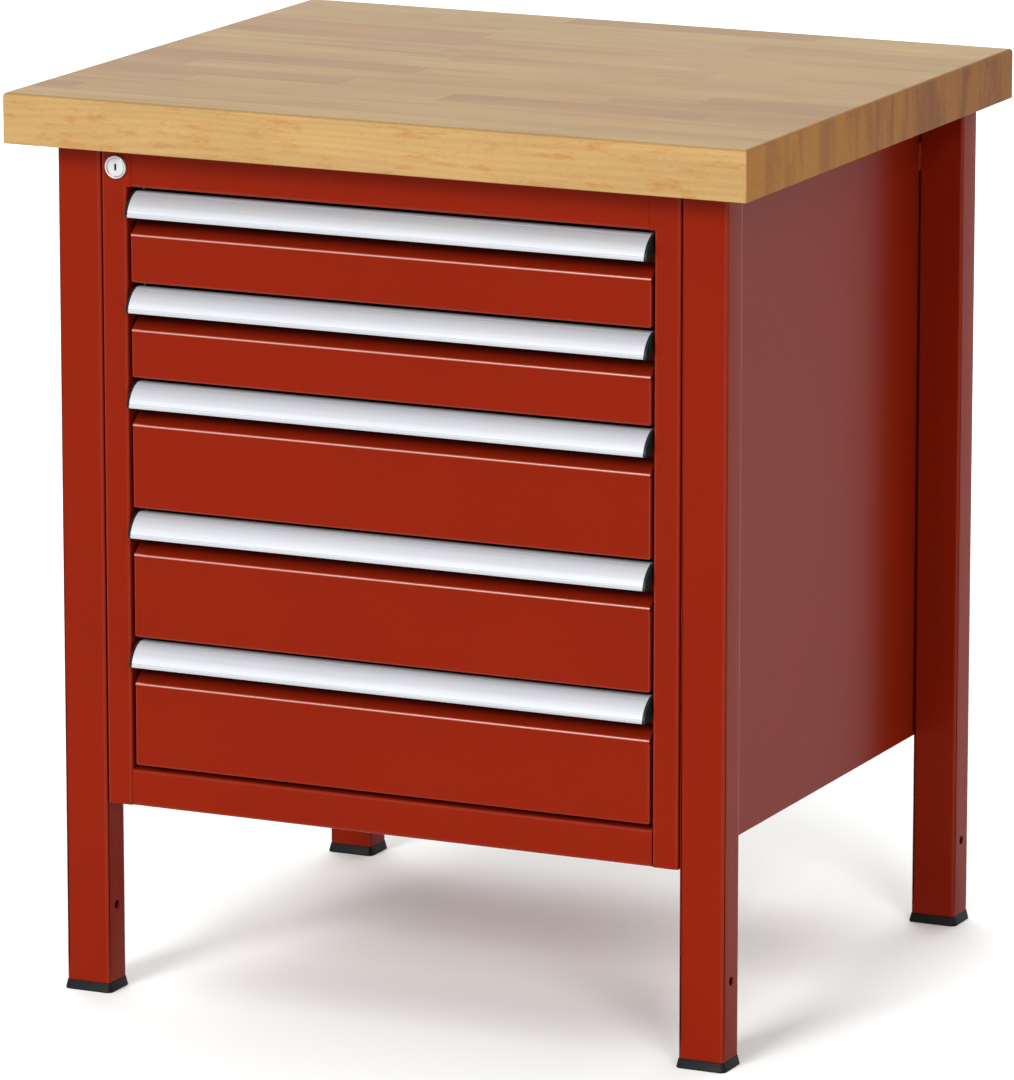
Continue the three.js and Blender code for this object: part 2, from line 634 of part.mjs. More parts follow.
function addLock() {
  const rimFront = frontY - LOCK_RIM_HEIGHT;
  const seat = frontY - LOCK_SEAT_HEIGHT;
  const bore = LOCK_PLUG_RADIUS + LOCK_CLEARANCE;
  const housing = turnedAtLock([
    [bore, seat],
    [LOCK_RIM_INNER_RADIUS, seat],
    [LOCK_RIM_INNER_RADIUS, rimFront + LOCK_RIM_EDGE],
    [LOCK_RIM_INNER_RADIUS + LOCK_RIM_EDGE, rimFront],
    [LOCK_RIM_RADIUS - LOCK_RIM_EDGE, rimFront],
    [LOCK_RIM_RADIUS, rimFront + LOCK_RIM_EDGE],
    [LOCK_RIM_RADIUS, frontY - GAP],
    [LOCK_BARREL_RADIUS, frontY - GAP],
    [LOCK_BARREL_RADIUS, barrelBackY],
    [bore, barrelBackY],
    [bore, seat],
  ]);
  addPiece("lock_housing", housing, nickel);

  const faceBack = seat - GAP;
  const plug = turnedAtLock([
    [0, faceBack - LOCK_PLUG_FACE_HEIGHT],
    [LOCK_PLUG_FACE_RADIUS, faceBack - LOCK_PLUG_FACE_HEIGHT],
    [LOCK_PLUG_FACE_RADIUS, faceBack],
    [LOCK_PLUG_RADIUS, faceBack],
    [LOCK_PLUG_RADIUS, plugEndY],
    [0, plugEndY],
  ]);
  const keySlot = box(
    [LOCK_X - KEY_SLOT.width / 2, LOCK_X + KEY_SLOT.width / 2],
    [rimFront, rimFront + KEY_SLOT.depth],
    [LOCK_Z - KEY_SLOT.height / 2, LOCK_Z + KEY_SLOT.height / 2],
  );
  addPiece("lock_cylinder", plug.subtract(keySlot), nickel);
}

const camPin = {
  x: LOCK_X - CAM_ARM * Math.cos(CAM_REST_ANGLE),
  z: LOCK_Z + CAM_ARM * Math.sin(CAM_REST_ANGLE),
};

/** The cam turns a quarter turn with the key, and its pin lifts the lock bar. */
function addLockCam() {
  const hub = cylinderAlongY(LOCK_PLUG_RADIUS, LOCK_X, LOCK_Z, [camFrontY, camBackY]);
  const tip = cylinderAlongY(2 * CAM_PIN_RADIUS, camPin.x, camPin.z, [camFrontY, camBackY]);
  const pin = cylinderAlongY(
    CAM_PIN_RADIUS,
    camPin.x,
    camPin.z,
    [camFrontY, camBackY + CAM_PIN_LENGTH],
    16,
  );
  addPiece("lock_cam", join(hub, tip, pin), zincSteel);
}

/** A flat bar behind the left post, with one finger for the catch of each drawer. */
function addLockBar() {
  const x0 = -shellInnerX + LOCK_BAR_SIDE_GAP;
  const x1 = x0 + LOCK_BAR_WIDTH;
  const thickness = [lockBarFrontY, lockBarBackY];
  let bar = box([x0, x1], thickness, [LOCK_BAR_BOTTOM, LOCK_Z + CAM_ARM]);
  for (const slot of slots) {
    const top = slot.top - LOCK_FINGER.belowSlotTop;
    const finger = [x1 - LOCK_BAR_THICKNESS, x1 + LOCK_FINGER.reach];
    bar = bar.add(box(finger, thickness, [top - LOCK_FINGER.height, top]));
  }
  const play = CAM_PIN_RADIUS + LOCK_BAR_SLOT_PLAY;
  const pinSlot = box(
    [LOCK_X - CAM_ARM - play, camPin.x + play],
    [lockBarFrontY - LOCK_BAR_THICKNESS, lockBarBackY + LOCK_BAR_THICKNESS],
    [camPin.z - play, camPin.z + play],
  );
  addPiece("lock_bar", bar.subtract(pinSlot), zincSteel);
}

// ---- Assembly ------------------------------------------------------------------------------------

addWorktop();
for (const place of legPlaces) {
  addLeg(place);
  addFoot(place);
}
addBackPanel();
addBottomPan();
addFrontTopRail();
for (const [name, centreY] of Object.entries(CROSS_RAIL_CENTRES)) addCrossRail(name, centreY);
for (const [sideName, side] of Object.entries(SIDES)) {
  addSidePanel(sideName, side);
  addUpright(`front_${sideName}`, side, UPRIGHT_FRONT);
  addUpright(`rear_${sideName}`, side, UPRIGHT_REAR);
  for (const slot of slots) addSlide(sideName, side, slot);
}
for (const slot of slots) {
  addDrawerBox(slot);
  addDrawerFront(slot);
  addHandle(slot);
}
addLock();
addLockCam();
addLockBar();

export default bench;
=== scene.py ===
"""Looks for the workbench with drawers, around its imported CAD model.

Metres, +Z up, +X to the right and -Y to the front. Sizes that the frame can't give are in millimetres
at the top, times MM, and places come from the boxes of the CAD nodes.
"""

import json
import random
from math import acos, atan2, cos, pi, radians, sin, sqrt, tan

import bmesh
import bpy
from mathutils import Matrix, Vector


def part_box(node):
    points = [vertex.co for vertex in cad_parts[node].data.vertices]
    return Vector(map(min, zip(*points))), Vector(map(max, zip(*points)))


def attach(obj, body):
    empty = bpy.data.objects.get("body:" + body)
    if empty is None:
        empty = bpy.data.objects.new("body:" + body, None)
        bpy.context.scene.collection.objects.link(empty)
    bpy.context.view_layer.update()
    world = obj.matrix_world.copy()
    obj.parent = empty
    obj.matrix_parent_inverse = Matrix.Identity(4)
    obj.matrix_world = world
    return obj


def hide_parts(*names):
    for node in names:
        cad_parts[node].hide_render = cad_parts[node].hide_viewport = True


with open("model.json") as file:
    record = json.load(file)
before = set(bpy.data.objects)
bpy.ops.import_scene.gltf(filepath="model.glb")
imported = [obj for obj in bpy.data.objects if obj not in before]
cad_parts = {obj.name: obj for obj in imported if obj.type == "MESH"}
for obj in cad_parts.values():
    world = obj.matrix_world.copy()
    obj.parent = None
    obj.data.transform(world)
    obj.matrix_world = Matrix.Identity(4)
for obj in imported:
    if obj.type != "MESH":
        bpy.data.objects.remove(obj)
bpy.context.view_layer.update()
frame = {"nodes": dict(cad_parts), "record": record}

# ---- Sizes ----

MM = 0.001
SIDES = {"left": -1, "right": 1}

WORKTOP_TOP_EDGE_RADIUS = 4.0 * MM
WORKTOP_BOTTOM_EDGE_RADIUS = 1.0 * MM
WORKTOP_CORNER_RADIUS = 1.2 * MM
WORKTOP_LEAST_RADIUS = 0.2 * MM
WORKTOP_EDGE_STEPS = 6
STAVE_WIDTH = 42.7 * MM
STAVE_LENGTH = 265 * MM
RING_SPACING = 3.4 * MM
GLUE_LINE = 0.35 * MM

LEG_CORNER_RADIUS = 3.0 * MM
LEG_WALL = 2.0 * MM
LEG_HOLE_RADIUS = 4.5 * MM
LEG_HOLE_HEIGHT = 83 * MM
WELD_START = 746 * MM
WELD_LENGTH = 30 * MM
WELD_RADIUS = 2.9 * MM

SHELL_SHEET = 1.5 * MM
SHELL_BEND = 2.4 * MM
REAR_FLANGE = 20 * MM
POST_RETURN = 18 * MM
RAIL_RETURN = 25 * MM
OPENING_HALF_WIDTH = 268 * MM
POST_SPLIT = 5 * MM
SHEET_GAP = 0.3 * MM
BEND_SUPPORT = 1.2 * MM

FRONT_SHEET = 1.2 * MM
FRONT_BEND = 1.7 * MM
FRONT_SIDE_FOLD = 1.6 * MM
FRONT_RETURN = 13 * MM
FRONT_TOP_UNDER_SLOT = 6.5 * MM
BEND_UNDER_SLOT = 44.8 * MM
RECESS_DEPTH = 14.7 * MM
RECESS_SHELF_RISE = 12 * MM
FRONT_TOP_FLANGE = 12 * MM
FRONT_STRIP_INSET = 0.5 * MM
TRAY_BELOW_BEND = 4 * MM
CHEEK_BELOW_BEND = 1.0 * MM
CHEEK_REAR_RISE = 7.5 * MM

HANDLE_ARC_RADIUS = 28 * MM
HANDLE_WALL = 1.8 * MM
HANDLE_CREST_FROM_BACK = 7.7 * MM
HANDLE_GROOVE_WIDTH = 1.1 * MM
HANDLE_GROOVE_DEPTH = 0.8 * MM
HANDLE_GROOVE_FROM_CREST = 3.2 * MM
HANDLE_CREST_ROUND = 0.6 * MM
HANDLE_LIP_STEP = 0.3 * MM
HANDLE_LIP_HEIGHT = 2.4 * MM
HANDLE_FLANGE_HEIGHT = 17 * MM
HANDLE_CAP_THICKNESS = 2.7 * MM
HANDLE_CAP_OVERHANG = 0.15 * MM
HANDLE_CAP_BEVEL = 0.4 * MM
HANDLE_CAP_GAP = 0.05 * MM

BOX_SHEET = 1.2 * MM
BOX_BEND = 2.5 * MM
BOX_HEM = 7 * MM
BOX_HALF_WIDTH = 252.3 * MM
BOX_WALL_INSET = 0.9 * MM
CATCH_BEHIND_BAR = 1.4 * MM
CATCH_THICKNESS = 3.5 * MM
CATCH_HEIGHT = 6 * MM
CATCH_BELOW_RIM = 3 * MM
CATCH_OVERLAP = 0.4 * MM

SLIDE_SHEET = 1.2 * MM
SLIDE_BEND = 1.6 * MM
SLIDE_INNER_HALF_HEIGHT = 12.8 * MM
SLIDE_INNER_GAP = 0.05 * MM
RIVET_FROM_END = 30 * MM
RIVET_RADIUS = 3 * MM
RIVET_HEIGHT = 1.0 * MM
BALL_RADIUS = 0.84 * MM
BALL_PITCH = 9 * MM
BALL_ROW_START = -200 * MM
BALL_ROW_LENGTH = 150 * MM
BALL_ROW_INSET = 0.968 * MM
BALL_ROW_BEHIND_LIP = 2.2 * MM

LOCK_RIM_RADIUS = 11 * MM
LOCK_RIM_INNER_RADIUS = 9.0 * MM
LOCK_BARREL_RADIUS = 9.2 * MM
LOCK_HOLE_RADIUS = 9.5 * MM
LOCK_BORE_RADIUS = 6.3 * MM
LOCK_SEAT_RISE = 1.0 * MM
PLUG_REAR_RADIUS = 6.0 * MM
PLUG_EDGE_ROUND = 0.4 * MM
KEYWAY_HALF_WIDTH = 1.1 * MM
KEYWAY_HALF_HEIGHT = 3.2 * MM
KEYWAY_CORNER = 0.9 * MM
KEYWAY_DEPTH = 8 * MM
KEYWAY_SHADE_BLOCK_GAP = 0.05 * MM
KEYWAY_SHADE_BLOCK_FRONT = 1.2 * MM
KEYWAY_SHADE_BLOCK_BACK = 7.5 * MM
LOCK_SEGMENTS = 64

# The edge attribute: how far paint thins and turns lighter over a bend, the lighter colour partly a painted
# highlight, or, below 0, how much painted shade darkens a recess.
SHELL_EDGE = 0.32
TRAY_EDGE = 0.36
FOLD_EDGE = 1.0
RECESS_PAINTED_SHADE = -1.0

CAMERA_AZIMUTH = 0.4389
CAMERA_ELEVATION = 0.2183
CAMERA_DISTANCE = 7.5653
CAMERA_LENS = 264.6
CAMERA_TARGET_HEIGHT = 420 * MM
CAMERA_SHIFT_RIGHT = -8.82 * MM
CAMERA_SHIFT_UP = -7.91 * MM

FLOOR_REACH = 30
ROOM_LIGHT = 0.04
OVERHEAD_BANK = 1.65
REAR_BANK = 1.9
REAR_HORIZON = 0.7
SKYLINE = 1.0

worktop_low, worktop_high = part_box("worktop")
worktop_half_depth = worktop_high.y
lock_low, lock_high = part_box("lock_housing")
lock_centre = (lock_low + lock_high) / 2
shell_outer_x = abs(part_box("back_panel")[0].x) + SHEET_GAP + SHELL_SHEET


# ---- Meshes ----


def v2(a, b):
    """A point in a plane."""
    return Vector((a, b))


def circle(centre, radius, segments):
    """The points of a circle in its own plane."""
    turns = [2 * pi * i / segments for i in range(segments)]
    return [(centre[0] + radius * cos(t), centre[1] + radius * sin(t)) for t in turns]


def link(made):
    """Puts an object in the scene."""
    bpy.context.scene.collection.objects.link(made)
    return made


def make_object(name, bm, material, sharp_degrees=35):
    """A piece from a bmesh: outward normals, smooth faces, sharp where it turns more than the angle."""
    bmesh.ops.recalc_face_normals(bm, faces=bm.faces)
    mesh = bpy.data.meshes.new(name)
    bm.to_mesh(mesh)
    bm.free()
    mesh.shade_smooth()
    mesh.set_sharp_from_angle(angle=radians(sharp_degrees))
    mesh.materials.append(material)
    return link(bpy.data.objects.new(name, mesh))


def settle(piece, body, slot, *nodes):
    """The piece rides on a body and stands for CAD nodes; the slot is not used."""
    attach(piece, body)
    if nodes:
        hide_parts(*nodes)
    return piece


def place_points(axis, at, points):
    """2-D points put in space: [y, z] across X, [x, z] across Y and [x, y] across Z."""
    if axis == "x":
        return [Vector((at, a, b)) for a, b in points]
    if axis == "y":
        return [Vector((a, at, b)) for a, b in points]
    return [Vector((a, b, at)) for a, b in points]


def edge_layer(bm):
    """The mesh's edge attribute, made before its first point."""
    return bm.verts.layers.float.get("edge") or bm.verts.layers.float.new("edge")


def add_loop(bm, points, weights=None):
    """A ring of points, with an edge weight each."""
    layer = edge_layer(bm)
    loop = [bm.verts.new(p) for p in points]
    for i, vert in enumerate(loop):
        vert[layer] = weights[i] if weights else 0.0
    return loop


def bridge(bm, first, second, closed=True):
    """Faces between two rings of points."""
    count = len(first)
    for i in range(count if closed else count - 1):
        j = (i + 1) % count
        bm.faces.new((first[i], first[j], second[j], second[i]))


def skin(bm, loops):
    """A closed body through a row of rings, with a face on each end."""
    for one, two in zip(loops, loops[1:]):
        bridge(bm, one, two)
    bm.faces.new(loops[0])
    bm.faces.new(loops[-1])


def bend_weights(outline, weight):
    """A weight at the points of a rounded bend, and 0 on flats and at cut corners."""
    weights = []
    count = len(outline)
    for i in range(count):
        before = Vector(outline[i]) - Vector(outline[i - 1])
        after = Vector(outline[(i + 1) % count]) - Vector(outline[i])
        turn = abs(before.angle_signed(after, 0.0))
        weights.append(weight if radians(3) < turn < radians(40) else 0.0)
    return weights


def add_prism(bm, outline, axis, start, end, weights=None):
    """A closed prism whose rounded bends carry the edge attribute."""
    weights = weights or bend_weights(outline, SHELL_EDGE)
    first = add_loop(bm, place_points(axis, start, outline), weights)
    last = add_loop(bm, place_points(axis, end, outline), weights)
    skin(bm, [first, last])


def add_box(bm, low, high):
    """A plain block inside a larger piece, such as a wall sheet of a tray."""
    outline = [(low[0], low[1]), (high[0], low[1]), (high[0], high[1]), (low[0], high[1])]
    add_prism(bm, outline, "z", low[2], high[2])


def add_turned(bm, profile, centre, segments=LOCK_SEGMENTS):
    """A ring-shaped or solid body turned about a line along Y: [radius, y] points, closed in itself."""
    edge_layer(bm)
    loops = []
    for radius, y in profile:
        if radius > 0:
            loops.append(add_loop(bm, place_points("y", y, circle((centre.x, centre.z), radius, segments))))
        else:
            loops.append([bm.verts.new((centre.x, y, centre.z))])
    pairs = list(zip(loops, loops[1:]))
    if profile[0][0] > 0:
        pairs.append((loops[-1], loops[0]))
    for one, two in pairs:
        if len(one) > 1 and len(two) > 1:
            bridge(bm, one, two)
        elif len(one) > 1 or len(two) > 1:
            hub, rim = (one[0], two) if len(one) == 1 else (two[0], one)
            for i in range(segments):
                bm.faces.new((hub, rim[i], rim[(i + 1) % segments]))


def rounded_path(path, radius, segments=6, support=BEND_SUPPORT):
    """A path whose inner corners are arcs, with a point on the flat just before and after each arc."""
    points = [Vector(p) for p in path]
    rounded = [points[0]]
    for last, corner, following in zip(points, points[1:], points[2:]):
        to_last = (last - corner).normalized()
        to_next = (following - corner).normalized()
        half = acos(max(-1.0, min(1.0, to_last.dot(to_next)))) / 2
        tangent = radius / tan(half)
        start = corner + to_last * tangent
        end = corner + to_next * tangent
        centre = corner + (to_last + to_next).normalized() * (radius / sin(half))
        start_spoke = start - centre
        sweep = start_spoke.angle_signed(end - centre)
        if (last - start).length > 2 * support:
            rounded.append(start + to_last * support)
        for step in range(segments + 1):
            turn = Matrix.Rotation(-sweep * step / segments, 2)
            rounded.append(centre + turn @ start_spoke)
        if (following - end).length > 2 * support:
            rounded.append(end + to_next * support)
    rounded.append(points[-1])
    return rounded


def sheet_outline(path, thickness, side):
    """The closed outline of a sheet that lies on one side of a path: +1 is its left, -1 its right."""
    normals = []
    for a, b in zip(path, path[1:]):
        along = (b - a).normalized()
        normals.append(v2(-along.y, along.x) * side)
    offset = []
    for i, point in enumerate(path):
        before = normals[max(i - 1, 0)]
        after = normals[min(i, len(normals) - 1)]
        mitre = before + after
        offset.append(point + mitre * (2 * thickness / mitre.length_squared))
    return [tuple(p) for p in path] + [tuple(p) for p in reversed(offset)]


def folded_sheet(corners, thickness, side, bend):
    """The outline of a sheet folded at the corners of an open path on its outer face."""
    return sheet_outline(rounded_path([v2(*c) for c in corners], bend), thickness, side)


def rounded_rectangle(half_x, half_y, radius, centre=(0, 0), segments=6, support=0.0):
    """A rectangle with rounded corners, and a point on the flat just beside each corner if asked for."""
    points = []
    corners = [(1, 1), (-1, 1), (-1, -1), (1, -1)]
    for quarter, (sign_x, sign_y) in enumerate(corners):
        arc = []
        for step in range(segments + 1):
            angle = pi / 2 * (quarter + step / segments)
            x = centre[0] + sign_x * (half_x - radius) + radius * cos(angle)
            y = centre[1] + sign_y * (half_y - radius) + radius * sin(angle)
            arc.append(Vector((x, y)))
        if support:
            arrive = v2(sin(pi / 2 * quarter), -cos(pi / 2 * quarter))
            leave = v2(-arrive.y, arrive.x)
            arc = [arc[0] + arrive * support] + arc + [arc[-1] + leave * support]
        points += [tuple(p) for p in arc]
    return points


def cut_away(piece, cutter_bm):
    """Cuts a hole in a piece, and shades it again."""
    mesh = bpy.data.meshes.new("cutter")
    bmesh.ops.recalc_face_normals(cutter_bm, faces=cutter_bm.faces)
    cutter_bm.to_mesh(mesh)
    cutter_bm.free()
    cutter = link(bpy.data.objects.new("cutter", mesh))
    step = piece.modifiers.new("cut", "BOOLEAN")
    step.operation = "DIFFERENCE"
    step.solver = "EXACT"
    step.use_self = True
    step.object = cutter
    graph = bpy.context.evaluated_depsgraph_get()
    cut = bpy.data.meshes.new_from_object(piece.evaluated_get(graph))
    piece.modifiers.clear()
    old = piece.data
    piece.data = cut
    bpy.data.meshes.remove(old)
    bpy.data.objects.remove(cutter)
    bpy.data.meshes.remove(mesh)
    cut.shade_smooth()
    cut.set_sharp_from_angle(angle=radians(35))


def arc_points(centre, radius, start, end, steps):
    """Points along an arc from one angle to another."""
    angles = [start + (end - start) * i / steps for i in range(steps + 1)]
    return [v2(centre.x + radius * cos(a), centre.y + radius * sin(a)) for a in angles]


# ---- Materials ----

PALE_STAVE = (0.296, 0.206, 0.094)
MIDDLE_STAVE = (0.276, 0.180, 0.082)
DARK_STAVE = (0.232, 0.134, 0.071)
# Painted light: the tone of the front and rear faces, lighter and more orange than the top's.
FRONT_FACE_LIT_TONE = (0.478, 0.300, 0.116)
STREAK_COLOUR = (0.222, 0.125, 0.068)
RING_COLOUR = (0.290, 0.178, 0.074)
FIBRE_COLOUR = (0.360, 0.246, 0.114)
SWIRL_COLOUR = (0.400, 0.168, 0.042)
FLECK_COLOUR = (0.270, 0.115, 0.034)
GLUE_COLOUR = (0.160, 0.086, 0.036)
ARRIS_COLOUR = (0.190, 0.092, 0.030)
END_GOLD = (0.318, 0.143, 0.041)
END_PURPLE = (0.190, 0.082, 0.043)
PAINT_IOR = 2.5
SPECULAR_TINT = (1.0, 0.72, 0.62)
BEND_REFLECTANCE = 0.95
RECESS_SHADE = 0.75


def new_material(name):
    """A material, its node tree and its shader."""
    material = bpy.data.materials.new(name)
    material.use_nodes = True
    tree = material.node_tree
    tree.nodes.clear()
    output = tree.nodes.new("ShaderNodeOutputMaterial")
    shader = tree.nodes.new("ShaderNodeBsdfPrincipled")
    tree.links.new(shader.outputs["BSDF"], output.inputs["Surface"])
    return material, tree, shader


def feed(tree, socket, value):
    """Links a socket, or sets its number or colour."""
    if isinstance(value, bpy.types.NodeSocket):
        tree.links.new(value, socket)
    else:
        socket.default_value = value


def calc(tree, operation, *values, clamp=False):
    """A Math node."""
    made = tree.nodes.new("ShaderNodeMath")
    made.operation = operation
    made.use_clamp = clamp
    for socket, value in zip(made.inputs, values):
        feed(tree, socket, value)
    return made.outputs[0]


def times(tree, *values, clamp=False):
    """The product of two values."""
    return calc(tree, "MULTIPLY", *values, clamp=clamp)


def plus(tree, *values, clamp=False):
    """The sum of two values."""
    return calc(tree, "ADD", *values, clamp=clamp)


def minus(tree, first, second):
    """The first value less the second."""
    return calc(tree, "SUBTRACT", first, second)


def ranged(tree, value, low, high, to_low=0.0, to_high=1.0):
    """A smooth step from one level to another while the value goes from low to high."""
    made = tree.nodes.new("ShaderNodeMapRange")
    made.interpolation_type = "SMOOTHSTEP"
    keys = ("Value", "From Min", "From Max", "To Min", "To Max")
    for key, given in zip(keys, (value, low, high, to_low, to_high)):
        feed(tree, made.inputs[key], given)
    return made.outputs["Result"]


def mixed(tree, factor, a, b, blend="MIX"):
    """Two colours mixed by a factor."""
    made = tree.nodes.new("ShaderNodeMix")
    made.data_type = "RGBA"
    made.blend_type = blend
    for index, value in ((0, factor), (6, a), (7, b)):
        feed(tree, made.inputs[index], value)
    return made.outputs[2]


def stretched(tree, vector, stretch):
    """Coordinates scaled along each axis."""
    mapping = tree.nodes.new("ShaderNodeMapping")
    mapping.inputs["Scale"].default_value = stretch
    tree.links.new(vector, mapping.inputs["Vector"])
    return mapping.outputs["Vector"]


def object_coordinates(tree, stretch=(1, 1, 1)):
    """The place in the bench's own frame, in metres, scaled if asked for."""
    coordinates = tree.nodes.new("ShaderNodeTexCoord").outputs["Object"]
    return coordinates if stretch == (1, 1, 1) else stretched(tree, coordinates, stretch)


def split_xyz(tree, vector):
    """The X, Y and Z of a vector."""
    made = tree.nodes.new("ShaderNodeSeparateXYZ")
    tree.links.new(vector, made.inputs["Vector"])
    return made.outputs


def noise(tree, vector, scale, detail=2.0, roughness=0.5):
    """Noise from 0 to 1."""
    made = tree.nodes.new("ShaderNodeTexNoise")
    feed(tree, made.inputs["Vector"], vector)
    made.inputs["Scale"].default_value = scale
    made.inputs["Detail"].default_value = detail
    made.inputs["Roughness"].default_value = roughness
    return made.outputs["Fac"]


def bump(tree, shader, height, distance, strength=1.0):
    """Fine relief on the shader."""
    made = tree.nodes.new("ShaderNodeBump")
    made.inputs["Strength"].default_value = strength
    made.inputs["Distance"].default_value = distance
    feed(tree, made.inputs["Height"], height)
    tree.links.new(made.outputs["Normal"], shader.inputs["Normal"])


def attribute(tree, name):
    """A number held at the points of the mesh."""
    made = tree.nodes.new("ShaderNodeAttribute")
    made.attribute_name = name
    return made.outputs["Fac"]


def powder_coat(name, colour, bend_colour_and_highlight, roughness, reflectance):
    """Fine orange-peel paint, thinner over the bends with a lighter colour there that is partly a painted
    highlight, and painted shade in recesses.
    """
    material, tree, shader = new_material(name)
    coordinates = object_coordinates(tree)
    broad = noise(tree, coordinates, 3.5, 3)
    fine = noise(tree, coordinates, 900, 2)
    peel = noise(tree, coordinates, 420, 1)
    shade = ranged(tree, broad, 0.2, 0.8, 0.96, 1.03)
    speckle = ranged(tree, fine, 0.25, 0.75, 0.95, 1.05)
    value = times(tree, shade, speckle)
    toned = mixed(tree, 1.0, (*colour, 1), value, "MULTIPLY")
    patchy_bends = ranged(tree, noise(tree, coordinates, 60, 4, 0.7), 0.35, 0.65, 0.35, 1.0)
    edge = attribute(tree, "edge")
    # Below 0 the edge attribute mixes the paint towards black: painted shade in the finger recess behind
    # each handle.
    painted_recess_shade = times(tree, edge, -RECESS_SHADE, clamp=True)
    toned = mixed(tree, painted_recess_shade, toned, (0, 0, 0, 1))
    # Over the bends the colour turns lighter: partly thinner paint, partly a painted highlight.
    bend = calc(tree, "POWER", calc(tree, "MAXIMUM", edge, 0.0), 2.0)
    thin_paint_and_highlight = times(tree, bend, patchy_bends, clamp=True)
    feed(tree, shader.inputs["Base Color"], mixed(tree, thin_paint_and_highlight, toned, (*bend_colour_and_highlight, 1)))
    satin = ranged(tree, broad, 0.2, 0.8, roughness - 0.015, roughness + 0.03)
    feed(tree, shader.inputs["Roughness"], satin)
    shader.inputs["IOR"].default_value = PAINT_IOR
    shader.inputs["Specular Tint"].default_value = (*SPECULAR_TINT, 1)
    gloss = ranged(tree, bend, 0.0, 1.0, reflectance, BEND_REFLECTANCE)
    feed(tree, shader.inputs["Specular IOR Level"], gloss)
    height = plus(tree, times(tree, peel, 0.7), times(tree, fine, 0.3))
    bump(tree, shader, height, 0.03 * MM)
    return material


